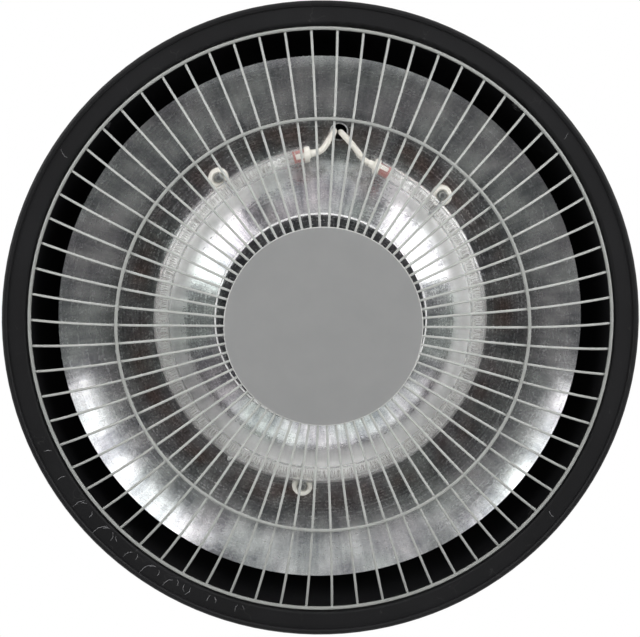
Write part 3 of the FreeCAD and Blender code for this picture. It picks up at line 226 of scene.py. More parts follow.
def arc(centre, radius, first, last, steps):
    """Points of an arc, with angles in degrees."""
    angles = [math.radians(first + (last - first) * i / steps) for i in range(steps + 1)]
    return [(centre[0] + radius * math.cos(angle), centre[1] + radius * math.sin(angle)) for angle in angles]


def evaluated(holder):
    """The finished mesh of an object with its modifiers."""
    graph = bpy.context.evaluated_depsgraph_get()
    return bpy.data.meshes.new_from_object(holder.evaluated_get(graph), depsgraph=graph)


def smooth_line(route):
    """Points of the spline that has a route's points as its control points."""
    curve = bpy.data.curves.new("route", "CURVE")
    curve.dimensions = "3D"
    curve.resolution_u = 10
    spline = curve.splines.new("NURBS")
    spline.points.add(len(route) - 1)
    for point, spot in zip(spline.points, route):
        point.co = (*spot, 1)
    spline.order_u = 3
    spline.use_endpoint_u = True
    holder = stood("route", curve)
    mesh = evaluated(holder)
    line = [vert.co.copy() for vert in mesh.vertices]
    bpy.data.objects.remove(holder)
    bpy.data.curves.remove(curve)
    bpy.data.meshes.remove(mesh)
    return line


def scattered(name, shape, frames, material, body, sharp):
    """Copies of one shape at frames, set out by geometry nodes."""
    spots = bpy.data.meshes.new(name + "_spots")
    spots.from_pydata([tuple(place.translation * MM) for place in frames], [], [])
    turns = spots.attributes.new("turn", "FLOAT_VECTOR", "POINT")
    turns.data.foreach_set("vector", [angle for place in frames for angle in place.to_euler()])
    holder = stood(name + "_spots", spots)
    source = stood(name + "_one", mesh_of(name + "_one", *shape))
    tree = bpy.data.node_groups.new(name, "GeometryNodeTree")
    keys = {}
    for label, kind, way in (("Spots", "Geometry", "INPUT"), ("Shape", "Object", "INPUT"),
                             ("Finish", "Material", "INPUT"), ("Copies", "Geometry", "OUTPUT")):
        socket = tree.interface.new_socket(label, in_out=way, socket_type="NodeSocket" + kind)
        keys[label] = socket.identifier
    given = put(tree, "NodeGroupInput").outputs
    piece = put(tree, "GeometryNodeObjectInfo", {"Object": given["Shape"]})
    turn = put(tree, "GeometryNodeInputNamedAttribute", {"Name": "turn"}, data_type="FLOAT_VECTOR")
    turned = put(tree, "FunctionNodeEulerToRotation", {"Euler": turn.outputs["Attribute"]})
    copies = put(tree, "GeometryNodeInstanceOnPoints", {
        "Points": given["Spots"],
        "Instance": piece.outputs["Geometry"],
        "Rotation": turned.outputs["Rotation"],
    })
    solid = put(tree, "GeometryNodeRealizeInstances", {"Geometry": copies.outputs["Instances"]})
    done = put(tree, "GeometryNodeSetMaterial", {"Geometry": solid.outputs["Geometry"],
                                                 "Material": given["Finish"]})
    put(tree, "NodeGroupOutput", {"Copies": done.outputs["Geometry"]})
    setter = holder.modifiers.new("copies", "NODES")
    setter.node_group = tree
    setter[keys["Shape"]] = source
    setter[keys["Finish"]] = material
    mesh = evaluated(holder)
    bpy.data.objects.remove(holder)
    bpy.data.objects.remove(source)
    return dressed(name, mesh, material, body, sharp=sharp)


# Helpers for materials

def shade(code):
    """An sRGB hex colour as linear RGBA."""
    parts = [int(code[i:i + 2], 16) / 255 for i in (1, 3, 5)]
    return [part / 12.92 if part <= 0.04045 else ((part + 0.055) / 1.055) ** 2.4 for part in parts] + [1.0]


def per(size):
    """A noise scale, in features per metre, from a feature's size in millimetres."""
    return 1.0 / (size * MM)


def feed(tree, node, ins):
    """Gives each input of a node its value, or links it to the socket that feeds it."""
    for key, value in ins.items():
        if isinstance(value, bpy.types.NodeSocket):
            tree.links.new(value, node.inputs[key])
        else:
            node.inputs[key].default_value = value
    return node


def put(tree, kind, ins=None, **settings):
    """Adds a node with its settings and its inputs."""
    fresh = tree.nodes.new(kind)
    for name, value in settings.items():
        setattr(fresh, name, value)
    return feed(tree, fresh, ins or {})


def new_material(name, uv_map=None):
    """A Principled material, its tree, its shader, and the place on the object or on a UV map."""
    material = bpy.data.materials.new(name)
    material.use_nodes = True
    tree = material.node_tree
    if uv_map:
        place = put(tree, "ShaderNodeUVMap", uv_map=uv_map).outputs["UV"]
    else:
        place = put(tree, "ShaderNodeTexCoord").outputs["Object"]
    return material, tree, tree.nodes["Principled BSDF"], place


def noise(tree, place, size, detail, out="Fac"):
    """Noise with features of a size in millimetres."""
    cloud = put(tree, "ShaderNodeTexNoise", {"Vector": place, "Scale": per(size), "Detail": detail})
    return cloud.outputs[out]


def mixed(tree, share, low, high, kind="MIX"):
    """Two colours, hex or sockets, mixed by a share."""
    low, high = (shade(tone) if isinstance(tone, str) else tone for tone in (low, high))
    return put(tree, "ShaderNodeMix", {"Factor": share, "A": low, "B": high},
               data_type="RGBA", blend_type=kind).outputs["Result"]


def spread(tree, value, source=(0.0, 1.0), to=(0.0, 1.0)):
    """A value taken from one range to another."""
    return put(tree, "ShaderNodeMapRange", {
        "Value": value, "From Min": source[0], "From Max": source[1], "To Min": to[0], "To Max": to[1],
    }).outputs["Result"]


def sums(tree, operation, *values):
    """One operation on numbers, given as values or sockets."""
    return put(tree, "ShaderNodeMath", dict(enumerate(values)), operation=operation).outputs["Value"]


def vectors(tree, operation, *values, out="Vector"):
    """One operation on vectors, given as values or sockets."""
    return put(tree, "ShaderNodeVectorMath", dict(enumerate(values)), operation=operation).outputs[out]


def scaled(tree, vector, scale):
    """A vector times a number."""
    return put(tree, "ShaderNodeVectorMath", {0: vector, "Scale": scale}, operation="SCALE").outputs["Vector"]


def bumped(tree, height, strength, distance):
    """The normal of a relief, with its distance in metres."""
    return put(tree, "ShaderNodeBump", {"Height": height, "Strength": strength,
                                        "Distance": distance}).outputs["Normal"]


def ramped(tree, value, *stops):
    """A colour over a value, by stops of a position and a hex colour."""
    ramp = put(tree, "ShaderNodeValToRGB", {"Fac": value})
    elements = ramp.color_ramp.elements
    for element, (position, code) in zip(elements, (stops[0], stops[-1])):
        element.color = shade(code)
        element.position = position
    for position, code in stops[1:-1]:
        elements.new(position).color = shade(code)
    return ramp.outputs["Color"]


def surfaced(tree, share, one, other):
    """A mix of two shaders as the surface."""
    both = put(tree, "ShaderNodeMixShader", {0: share, 1: one, 2: other})
    feed(tree, tree.nodes["Material Output"], {"Surface": both.outputs["Shader"]})


# Materials

def black_powder_coat():
    """Baked polyester powder on steel: nearly black, matt, with a fine orange-peel skin, faint handling
    scuffs and pale hair scratches where wires have rubbed."""
    material, tree, skin, place = new_material("black_powder_coat")
    cloud = noise(tree, place, 45, 4.0)
    bend = scaled(tree, noise(tree, place, 9, 2.0, "Color"), 0.012)
    astray = vectors(tree, "ADD", place, bend)
    cells = put(tree, "ShaderNodeTexVoronoi", {"Vector": astray, "Scale": per(16)},
                feature="DISTANCE_TO_EDGE")
    line = spread(tree, cells.outputs["Distance"], (0.0, 0.014), (1.0, 0.0))
    some = spread(tree, noise(tree, place, 13, 1.0), (0.6, 0.66))
    hair = sums(tree, "MULTIPLY", sums(tree, "MULTIPLY", line, some), 0.08)
    feed(tree, skin, {
        "Base Color": mixed(tree, hair, mixed(tree, cloud, "#111112", "#1a1a1c"), "#8a8a88"),
        "Roughness": spread(tree, cloud, to=(0.42, 0.58)),
        "Normal": bumped(tree, noise(tree, place, 1.4, 2.0), 0.25, 0.0002),
        "Specular IOR Level": 0.3,
    })
    return material


def spun_aluminium():
    """Bright aluminium sheet turned on a former: blotches and fan-like smears from wiping, tool rings round
    the axis, a brownish heat tint, a white band by the lamp that is partly matt haze and partly painted
    light, a painted highlight line on the ridge by the plate, and a sheen that the rings stretch outwards."""
    material, tree, metal, place = new_material("spun_aluminium")
    level = vectors(tree, "MULTIPLY", place, (1.0, 1.0, 0.0))
    reach = vectors(tree, "LENGTH", level, out="Value")
    outward = vectors(tree, "NORMALIZE", level)

    def polar_noise(round_scale, out_scale, detail):
        """Noise with its own scales around the axis and outwards."""
        climb = put(tree, "ShaderNodeCombineXYZ", {"Z": sums(tree, "MULTIPLY", reach, out_scale)})
        spot = vectors(tree, "ADD", scaled(tree, outward, round_scale), climb.outputs["Vector"])
        cloud = put(tree, "ShaderNodeTexNoise", {"Vector": spot, "Scale": 1.0, "Detail": detail})
        return cloud.outputs["Fac"]

    def blend(*shares):
        """The sum of noises, each times its share."""
        total = 0.0
        for part, share in shares:
            total = sums(tree, "MULTIPLY_ADD", part, share, total)
        return total

    def band(*spots):
        """A curve over the distance from the axis in metres, zero outside its spots."""
        curve = put(tree, "ShaderNodeFloatCurve", {"Value": reach})
        line = curve.mapping.curves[0]
        line.points[0].location = (0.0, 0.0)
        line.points[1].location = (1.0, 0.0)
        for spot in spots:
            line.points.new(*spot)
        curve.mapping.update()
        return curve.outputs["Value"]

    def fading(toward, source, least):
        """One all round, falling to the least towards one side."""
        nearness = vectors(tree, "DOT_PRODUCT", outward, toward, out="Value")
        return spread(tree, nearness, source, (1.0, least))

    blotch = polar_noise(9.0, 48.0, 4.0)
    smear = polar_noise(62.0, 16.0, 3.0)
    rings = polar_noise(3.0, per(1.3), 3.0)
    speck = noise(tree, place, 1.6, 3.0)
    mottle = blend((blotch, 0.6), (smear, 0.14), (rings, 0.08), (speck, 0.18))
    bright = spread(tree, mottle, (0.37, 0.63))
    tone = mixed(tree, bright, "#9b9da2", "#f1f2f3")

    # White band in the trough, partly matt heat haze and partly painted light for the brightness that
    # reflections
    #     give the trough, thin at the lamp's gap and on its left where it is darker; the ridge by the plate
    #     has a painted highlight
    white = band((0.087, 0.0), (0.092, 0.35), (0.097, 0.85), (0.103, 1.0), (0.109, 0.9), (0.114, 0.0))
    painted_light_sides = sums(tree, "MULTIPLY", fading((0.136, -0.991, 0.0), (0.77, 0.985), 0.12),
                fading((-0.966, 0.259, 0.0), (0.84, 0.97), 0.45))
    # Painted highlight: a thin white ring on the ridge stands in for the glint of its bead
    highlight_ridge_reach, highlight_ridge_half = 0.0713, 0.0005
    ridge = sums(tree, "COMPARE", reach, highlight_ridge_reach, highlight_ridge_half)
    # Painted light: white, matt and not metal in the band and on the ridge line
    bloom = sums(tree, "MAXIMUM", sums(tree, "MULTIPLY", white, painted_light_sides), ridge)
    haze_and_painted_light_white = mixed(tree, bright, "#f0f0ef", "#ffffff")

    # Brown heat tint in patches, strongest just outside the lamp
    patchy = spread(tree, noise(tree, place, 22, 2.0), (0.35, 0.65), (0.0, 0.6))
    heat = sums(tree, "MULTIPLY", band((0.113, 0.0), (0.125, 1.0), (0.137, 0.0)), patchy)
    warm = mixed(tree, heat, tone, "#93644e")

    # Faint pink and green films, clearest on the flank
    film = ramped(tree, noise(tree, place, 38, 1.0), (0.36, "#d9ecdf"), (0.5, "#f4f4f4"), (0.64, "#f0dde6"))
    colour = mixed(tree, spread(tree, reach, (0.1, 0.13), (0.4, 0.18)), warm, film, "MULTIPLY")

    smooth = spread(tree, blend((rings, 0.5), (speck, 0.5)), (0.35, 0.65), (0.17, 0.31))
    # Heights in metres: soft dents, smears, tool rings and grain
    height = blend((blotch, 0.00005), (smear, 0.00002), (rings, 0.000006), (speck, 0.000006))
    way = put(tree, "ShaderNodeTangent", direction_type="UV_MAP", uv_map="round")
    feed(tree, metal, {
        "Base Color": mixed(tree, bloom, colour, haze_and_painted_light_white),
        "Roughness": spread(tree, bloom, to=(smooth, 0.45)),
        "Metallic": spread(tree, bloom, to=(1.0, 0.0)),
        "Normal": bumped(tree, height, 1.0, 1.0),
        "Tangent": way.outputs["Tangent"],
        "Anisotropic": 0.6,
        "Anisotropic Rotation": 0.25,
    })
    return material


def coated_wire(name, low, high, roughness, grain_size):
    """Stoved enamel on steel: an even grey with a soft gloss, small runs and a fine skin."""
    material, tree, skin, place = new_material(name)
    cloud = noise(tree, place, 14, 4.0)
    feed(tree, skin, {
        "Base Color": mixed(tree, cloud, low, high),
        "Roughness": spread(tree, cloud, to=roughness),
        "Normal": bumped(tree, noise(tree, place, grain_size, 2.0), 0.2, 0.0001),
    })
    return material


def quartz_glass():
    """Fused quartz: clear, with a faint white bloom and a trace of draw lines along the tube."""
    material, tree, glass, place = new_material("fused_quartz")
    feed(tree, glass, {
        "Base Color": shade("#ffffff"),
        "Transmission Weight": 1.0,
        "Roughness": 0.0,
        "IOR": 1.458,
        "Normal": bumped(tree, noise(tree, place, 7, 2.0), 0.12, 0.0004),
    })
    bloom = put(tree, "ShaderNodeBsdfDiffuse", {"Color": shade("#f4f4f2")})
    milky = put(tree, "ShaderNodeMixShader", {0: 0.11, 1: glass.outputs["BSDF"], 2: bloom.outputs["BSDF"]})
    clear = put(tree, "ShaderNodeBsdfTransparent", {"Color": shade("#fdfefd")})
    shadow = put(tree, "ShaderNodeLightPath").outputs["Is Shadow Ray"]
    surfaced(tree, shadow, milky.outputs["Shader"], clear.outputs["BSDF"])
    return material


def white_ceramic():
    """Fired steatite, unglazed: warm white, dull, with faint grey specks from the press."""
    material, tree, body, place = new_material("white_steatite")
    cloud = noise(tree, place, 4, 5.0)
    speck = noise(tree, place, 0.6, 2.0)
    spots = spread(tree, speck, (0.66, 0.74), (0.0, 0.4))
    feed(tree, body, {
        "Base Color": mixed(tree, spots, mixed(tree, cloud, "#ebe7dc", "#fbf9f2"), "#b9b2a4"),
        "Roughness": spread(tree, cloud, to=(0.4, 0.6)),
        "Normal": bumped(tree, speck, 0.2, 0.0001),
        "IOR": 1.6,
    })
    return material


def plain_grain(name, low, high, roughness, cloud_size, grain_size, strength, metallic=0.0, ior=1.5):
    """A moulded, plated or rubbery skin: two near tones in clouds, and a fine grain that breaks the gloss."""
    material, tree, skin, place = new_material(name)
    grain = noise(tree, place, grain_size, 3.0)
    feed(tree, skin, {
        "Base Color": mixed(tree, noise(tree, place, cloud_size, 4.0), low, high),
        "Roughness": spread(tree, grain, (0.3, 0.7), roughness),
        "Normal": bumped(tree, grain, strength, 0.0001),
        "Metallic": metallic,
    })
    if not metallic:
        feed(tree, skin, {"IOR": ior})
    return material


def woven_sleeve():
    """Glass-fibre braid: off-white yarns that cross at an angle, dull with a soft sheen. UV is in metres
    along and around the sleeve, and the yarns are drawn 0.9 mm wide so that they show."""
    material, tree, yarn, place = new_material("glass_fibre_braid", uv_map="braid")
    yarn_size, cross_angle = 0.9 * 3.2, 38
    waves = []
    for turn in (cross_angle, -cross_angle):
        lean = (0.0, 0.0, math.radians(turn))
        leaning = put(tree, "ShaderNodeMapping", {"Vector": place, "Rotation": lean}).outputs["Vector"]
        wave = put(tree, "ShaderNodeTexWave", {"Vector": leaning, "Scale": per(yarn_size), "Distortion": 0.4})
        waves.append(wave.outputs["Fac"])
    cross = sums(tree, "MAXIMUM", *waves)
    feed(tree, yarn, {
        "Base Color": mixed(tree, cross, "#cfc9ba", "#f3f0e8"),
        "Normal": bumped(tree, cross, 0.5, 0.0002),
        "Roughness": 0.75,
        "Sheen Weight": 0.2,
    })
    return material


BLACK = black_powder_coat()
ALUMINIUM = spun_aluminium()
WIRE_GREY = coated_wire("light_grey_enamel", "#a2a4a1", "#b7b9b6", (0.28, 0.4), 1.2)
PLATE_GREY = coated_wire("satin_grey_enamel", "#858686", "#8e8e8e", (0.4, 0.5), 0.9)
# Lighter than the plate: worn edge and a painted highlight where it catches light
WORN_AND_HIGHLIT_EDGE = coated_wire("worn_enamel_edge_and_highlight", "#b2b2b0", "#ccccca", (0.35, 0.45), 0.9)
# The spokes' coat made darker for the rings: painted shade
SHADED_RING_GREY = coated_wire("ring_enamel_with_painted_shade", "#8f918e", "#a3a5a2", (0.28, 0.4), 1.2)
QUARTZ = quartz_glass()
PINCHED = plain_grain("frosted_quartz", "#f4f5f4", "#ffffff", (0.1, 0.3), 3.0, 0.6, 0.2, ior=1.46)
FILAMENT = plain_grain("resistance_wire", "#45423f", "#c9c6c0", (0.2, 0.38), 3.0, 0.4, 0.2, metallic=1.0)
NICKEL = plain_grain("nickel_plate", "#b9b7b0", "#cfcdc6", (0.2, 0.35), 4.0, 0.6, 0.12, metallic=1.0)
CERAMIC = white_ceramic()
SEAL = plain_grain("red_silicone", "#8e2412", "#b23a20", (0.45, 0.65), 3.0, 0.5, 0.3, ior=1.42)
SLEEVE = woven_sleeve()
ZINC = plain_grain("bright_zinc_plate", "#b4b7ba", "#d0d2d3", (0.22, 0.4), 6.0, 0.8, 0.15, metallic=1.0)
BRASS = plain_grain("bare_brass", "#b08c45", "#c9a75c", (0.25, 0.42), 5.0, 0.7, 0.15, metallic=1.0)
RUBBER = plain_grain("black_rubber", "#151515", "#202020", (0.65, 0.85), 6.0, 0.5, 0.4)
NYLON = plain_grain("black_nylon", "#17171a", "#212124", (0.38, 0.55), 8.0, 0.45, 0.35, ior=1.53)
RUBBED = plain_grain("rubbed_coat", "#727275", "#a2a2a4", (0.5, 0.7), 3.0, 0.4, 0.2)
ROCKER = plain_grain("gloss_black_plastic", "#101012", "#18181a", (0.16, 0.26), 6.0, 0.6, 0.1, ior=1.53)
WIRE_COAT = plain_grain("brown_wire_coat", "#54341f", "#6b452b", (0.4, 0.5), 5.0, 0.8, 0.15)

FINISHES = {
    "black_coat": BLACK, "reflector": ALUMINIUM, "guard_wire": WIRE_GREY, "plate": PLATE_GREY,
    "quartz": QUARTZ, "filament": FILAMENT, "ceramic": CERAMIC, "red_seal": SEAL, "lead_sleeve": SLEEVE,
    "zinc": ZINC, "brass": BRASS, "black_rubber": RUBBER, "black_nylon": NYLON, "rocker": ROCKER,
    "wire_coat": WIRE_COAT,
}


def finish_solids():
    """Each solid takes the finish of its slot; the guard's rings take a darker grey than its spokes, painted
    shade on the same coat.
    """
    for entry in frame["record"]["subparts"]:
        piece = nodes[entry["node"]]
        piece.data.materials.clear()
        ring = piece.name.endswith("_ring")
        piece.data.materials.append(SHADED_RING_GREY if ring else FINISHES[entry["material_slot"]])


# Reflector

def reflector_outline():
    """The reflector's face and back as one closed outline, from the centre outwards and back."""
    plateau, bore = PLATEAU_Z, 4.05
    flat, ridge, flank, trough, curve, seat_width = 70.507, 4.0, 364.0, 16.0, 97.0, 15
    lean = math.radians(28)
    face = [(bore, plateau), (20.0, plateau), (45.0, plateau)]
    # Low bead on the ridge
    face += [(flat - 1.6, plateau), (flat - 1.1, plateau - 0.45), (flat - 0.5, plateau - 0.7),
             (flat + 0.2, plateau - 0.45)]
    face += arc((flat, plateau + ridge), ridge, -80, -62, 4)
    flank_centre = (flat + (ridge - flank) * math.sin(lean),
                    plateau + ridge - (ridge - flank) * math.cos(lean))
    face += arc(flank_centre, flank, -62, -57, 16)[1:]
    face += arc((SEAT_REACH, SEAT_Z - trough), trough, 123, 90, 12)[1:]
    seat = face[-1]
    face += [(seat[0] + step, seat[1]) for step in (5, 10, seat_width)]
    centre = (seat[0] + seat_width, seat[1] - curve)
    run = math.degrees(math.asin((REFLECTOR_EDGE - centre[0]) / curve))
    face += arc(centre, curve, 90, 90 - run, 30)[1:]
    back = []
    for before, here, after in zip([face[0]] + face[:-1], face, face[1:] + [face[-1]]):
        slope = Vector((after[0] - before[0], after[1] - before[1])).normalized()
        back.append((here[0] - slope.y * REFLECTOR_SHEET, here[1] + slope.x * REFLECTOR_SHEET))
    return face + back[::-2]


def waved(verts):
    """Points of the reflector with small waves in the outer band, as spun sheet has."""
    height, start, run_in = 0.55, 118, 20
    verts = np.array(verts)
    reach = np.hypot(verts[:, 0], verts[:, 1])
    turn = np.arctan2(verts[:, 1], verts[:, 0])
    chance = np.random.default_rng(7)
    wave = np.zeros(len(verts))
    for count in (11, 17, 23, 31, 43):
        wave += np.sin(count * turn + reach / chance.uniform(14, 30) + chance.uniform(0, 6.28)) / count
    verts[:, 2] += height * wave * np.clip((reach - start) / run_in, 0, 1)
    return verts


def make_reflector():
    """Spun sheet with its UV round the axis, and a beaded hole for the leads."""
    verts, faces = spun(reflector_outline(), 288)
    mesh = mesh_of("reflector_spun", waved(verts), faces)
    shape = bmesh.new()
    shape.from_mesh(mesh)
    bmesh.ops.recalc_face_normals(shape, faces=shape.faces)
    layer = shape.loops.layers.uv.new("round")
    out_scale = 5
    for face in shape.faces:
        middle = face.calc_center_median()
        base = math.atan2(middle.y, middle.x)
        for loop in face.loops:
            spot = loop.vert.co
            swing = math.atan2(spot.y, spot.x) - base
            swing = (swing + math.pi) % (2 * math.pi) - math.pi
            loop[layer].uv = (base + swing, math.hypot(spot.x, spot.y) * out_scale)
    shape.to_mesh(mesh)
    shape.free()
    piece = dressed("reflector_spun", mesh, ALUMINIUM, "heater", ["reflector"], sharp=60)

    spot = around(*LEAD_HOLE, SEAT_Z)
    drill = Vector((0, 0, 6))
    verts, faces, _ = swept([spot - drill, spot + drill], [LEAD_HOLE_RADIUS] * 2, 40)
    cutter = stood("lead_hole", mesh_of("lead_hole", verts, faces))
    hole = piece.modifiers.new("hole", "BOOLEAN")
    hole.operation = "DIFFERENCE"
    hole.object = cutter
    hole.solver = "EXACT"
    cut = evaluated(piece)
    piece.modifiers.clear()
    piece.data = cut
    bpy.data.objects.remove(cutter)
    ring = spun(arc((LEAD_HOLE_RADIUS + 0.25, 0), 0.5, 0, 330, 11), 48)
    bead = placed(ring, Matrix.Translation(spot - Vector((0, 0, 0.2))))
    made("lead_hole_rim", *bead, ZINC, "heater", slot="reflector", sharp=80)


# Lamp

def lamp_spot(turn, out=0.0, up=0.0):
    """A point beside the lamp's line at a turn; its ends bow out, as such rings spring."""
    bow = 0.0
    for side, (end, way) in LAMP_ENDS.items():
        depth = way * (turn - end) % 360
        depth = depth if depth < 180 else depth - 360
        height, length = LAMP_BOWS[side]
        if depth > -BOW_OUTSIDE:
            bow += height * max(0.0, 1 - math.radians(depth) * LAMP_RING / length) ** 2
    return around(LAMP_RING + bow + out, turn, LAMP_Z + up)


def lamp_way(turn):
    """The direction of the lamp's line, towards larger turns."""
    return (lamp_spot(turn + 0.2) - lamp_spot(turn - 0.2)).normalized()


def inside(side, depth):
    """The turn of a spot at some depth in one end of the tube; outside it, the depth is below zero."""
    end, way = LAMP_ENDS[side]
    return end + way * math.degrees(depth / LAMP_RING)


def make_tube():
    """Glass tube with its bore, square ends and the drop left where it was sealed off."""
    first, last = LAMP_ENDS["right"][0], LAMP_ENDS["left"][0] + 360
    steps, sides = 220, 24
    line = [lamp_spot(first + (last - first) * i / steps) for i in range(steps + 1)]
    outer = swept(line, [TUBE] * len(line), sides, capped=False)
    bore = swept(line, [TUBE_BORE] * len(line), sides, capped=False)
    verts, faces = joined(outer[:2], (bore[0], [face[::-1] for face in bore[1]]))
    total = len(outer[0])
    for turn in range(sides):
        after = (turn + 1) % sides
        faces.append((turn, total + turn, total + after, after))
        edge = total - sides
        faces.append((edge + after, total + edge + after, total + edge + turn, edge + turn))
    drop = spun([(0.01, 0), (1.9, 0), (1.6, 0.9), (1.35, 1.6), (1.2, 2.2), (0.9, 2.8), (0.45, 3.15),
                 (0.01, 3.25)], 16)
    sunk = 0.25
    spot = around(LAMP_RING + TUBE - sunk, TIP_TURN, LAMP_Z)
    drop = placed(drop, facing(spot, around(1, TIP_TURN, 0)))
    made("lamp_glass", *joined((verts, faces), drop), QUARTZ, "heater", ["lamp_tube"], "quartz", sharp=50)


def make_filament():
    """Thin wire wound along the whole ring, a little uneven, as it slackens with use."""
    chance = np.random.default_rng(3)
    first = inside("right", FILAMENT_DEPTH)
    sweep = inside("left", FILAMENT_DEPTH) + 360 - first
    turns, per_turn, wire = 340, 9, 0.23
    coil, widest, uneven, stray = 2.9, 3.7, 0.3, 0.22
    count = turns * per_turn

    def wandering(knots):
        """Smooth random values along the wire, by a number of knots."""
        places = np.linspace(0, knots, count + 1)
        return np.interp(places, np.arange(knots + 1), chance.normal(0, 1, knots + 1))

    slack, drift = wandering(1000), wandering(700)
    line = []
    for number in range(count + 1):
        share = number / count
        ease = min(1.0, number / per_turn, (count - number) / per_turn)
        swing = 2 * math.pi * number / per_turn
        radius = min(coil + uneven * slack[number], widest) * ease
        turn = first + sweep * share + stray * drift[number] * ease
        line.append(lamp_spot(turn, radius * math.cos(swing), radius * math.sin(swing)))
    verts, faces, _ = swept(line, [wire] * len(line), 4)
    made("filament_coil", verts, faces, FILAMENT, "heater", ["lamp_filament"], "filament", sharp=80,
         weld=False)


def pipe_wall(first, last, steps, outer, inner, start, span, sides):
    """Part of a pipe's wall along the lamp's ring; angles about the pipe run from outwards over upwards."""
    verts, faces, row = [], [], sides + 1
    for number in range(steps + 1):
        turn = first + (last - first) * number / steps
        for radius in (outer, inner):
            for part in range(row):
                angle = math.radians(start + span * part / sides)
                verts.append(lamp_spot(turn, radius * math.cos(angle), radius * math.sin(angle)))
    for number in range(steps):
        here, there = number * 2 * row, (number + 1) * 2 * row
        for part in range(sides):
            faces.append((here + part, here + part + 1, there + part + 1, there + part))
            here_in, there_in = here + row + part, there + row + part
            faces.append((here_in + 1, here_in, there_in, there_in + 1))
        for part in (0, sides):
            faces.append((here + part, here + row + part, there + row + part, there + part))
    for end in (0, steps * 2 * row):
        for part in range(sides):
            faces.append((end + part, end + part + 1, end + row + part + 1, end + row + part))
    return verts, faces


def make_pins():
    """Thin nickel-plated wires from the plugs to the pinched ends."""
    start, length, radius = 7.0, 9.5, 0.35
    parts = []
    for side in LAMP_ENDS:
        line = [lamp_spot(inside(side, start + length * i / 8)) for i in range(9)]
        parts.append(swept(line, [radius] * 9, 8)[:2])
    made("plug_wires", *joined(*parts), NICKEL, "heater", ["lamp_pins"], "brass", sharp=60)


def make_seals():
    """Red cups round the spigots, open along one side and closed at their inner end."""
    outer, inner, mouth, wall_end, floor_depth = 4.2, 3.2, 0.2, 5.7, 7.05
    floor = [(0.01, -1.3), (3.1, -1.3), (outer, -1.3), (outer, -0.2), (3.8, 0.2), (0.01, 0.2)]
    cups = []
    for side, opening, width in (("left", -90, 70), ("right", -35, 110)):
        first, last = inside(side, mouth), inside(side, wall_end)
        cups.append(pipe_wall(first, last, 8, outer, inner, opening + width / 2, 360 - width, 18))
        turn = inside(side, floor_depth)
        along = facing(lamp_spot(turn), lamp_way(turn) * LAMP_ENDS[side][1])
        cups.append(placed(spun(floor, 24), along))
    made("seal_cups", *joined(*cups), SEAL, "heater", ["lamp_seals"], "red_seal", sharp=50)


def make_plugs():
    """Ceramic ends: spigot into the tube, flange against it and a tapered nose for the lead."""
    outline = [(0.01, 7.0), (2.7, 7.0), (3.1, 6.5), (3.1, 0.0), (4.8, 0.0), (5.3, -0.25), (5.5, -0.8),
               (5.5, -2.8), (5.3, -3.4), (4.8, -3.7), (3.6, -3.8), (2.9, -4.2), (2.6, -5.2), (2.5, -7.2),
               (2.3, -7.6), (0.01, -7.6)]
    verts, faces = spun(outline, 32)
    for side in LAMP_ENDS:
        bent = [lamp_spot(inside(side, depth), x, y) for x, y, depth in verts]
        made(f"plug_{side}", bent, faces, CERAMIC, "heater", [f"lamp_plug_{side}"], "ceramic", sharp=35)


def make_pinches():
    """Glass drawn down over the filament's ends: white wavy strands that the jaws leave."""
    chance = np.random.default_rng(5)
    start, length, radius, high, wide = 15.6, 8.2, 0.42, 2.8, 2.5
    parts = []
    for side in LAMP_ENDS:
        for _ in range(4):
            line, lift, out = [], chance.uniform(-2.4, 1.0), chance.uniform(-2.0, 2.0)
            for number in range(13):
                depth = start + length * number / 12
                lift = min(max(lift + chance.uniform(-1.3, 1.3), -high), high)
                out = min(max(out + chance.uniform(-1.5, 1.5), -wide), wide)
                line.append(lamp_spot(inside(side, depth), out, lift))
            line = smooth_line(line)
            parts.append(swept(line, [radius] * len(line), 6)[:2])
    made("pinched_ends", *joined(*parts), PINCHED, "heater", ["lamp_pinches"], "quartz", sharp=80)


def lead_route(side):
    """Control points of a lead: from its plug into the hole, up behind the reflector and to the block."""
    way = LAMP_ENDS[side][1]
    hole = around(*LEAD_HOLE, SEAT_Z)
    rise, over = BLOCK_Z - SEAT_Z, BLOCK_Y - LEAD_END - hole.y
    nose = inside(side, LEAD_START)
    start = lamp_spot(nose)
    out = lamp_way(nose) * -way
    if side == "left":
        bore = hole + Vector((-3.2, -0.4, 0))
        route = [start, start + out * 4, bore + Vector((-3.5, 5, -9.5)), bore - Vector((0, 0, 5))]
    else:
        bore = hole + Vector((1.2, 0.5, 0))
        route = [start, start + out * 3.5, start.lerp(bore, 0.55), start.lerp(bore, 0.85),
                 bore - Vector((0, 0, 4))]
        route[2].z = SEAT_Z - 11
        route[3].z = SEAT_Z - 9
    aside = hole.x + way * 5 - bore.x
    for share, lift in ((0, 0.28), (0.26, 0.68), (0.65, 0.94), (1, 1)):
        route.append(Vector((bore.x + aside * share, bore.y + over * share, SEAT_Z + rise * lift)))
    route.append(Vector((bore.x + aside, BLOCK_Y, SEAT_Z + rise)))
    return route


def make_leads():
    """Leads in braided sleeves, with the sleeve's length and girth as UV."""
    sides = 14
    for side in LAMP_ENDS:
        line = smooth_line(lead_route(side))
        verts, faces, lengths = swept(line, [LEAD_RADIUS] * len(line), sides)
        piece = made(f"lead_{side}", verts, faces, SLEEVE, "heater", [f"lamp_lead_{side}"], "lead_sleeve",
                     weld=False)
        layer = piece.data.uv_layers.new(name="braid")
        loops = piece.data.loops
        for face in piece.data.polygons:
            last = any(loops[other].vertex_index % sides == sides - 1 for other in face.loop_indices)
            for loop in face.loop_indices:
                number = loops[loop].vertex_index
                turn = number % sides
                if turn == 0 and last:
                    turn = sides
                girth = 2 * math.pi * LEAD_RADIUS * turn / sides
                layer.data[loop].uv = (lengths[number // sides] * MM, girth * MM)


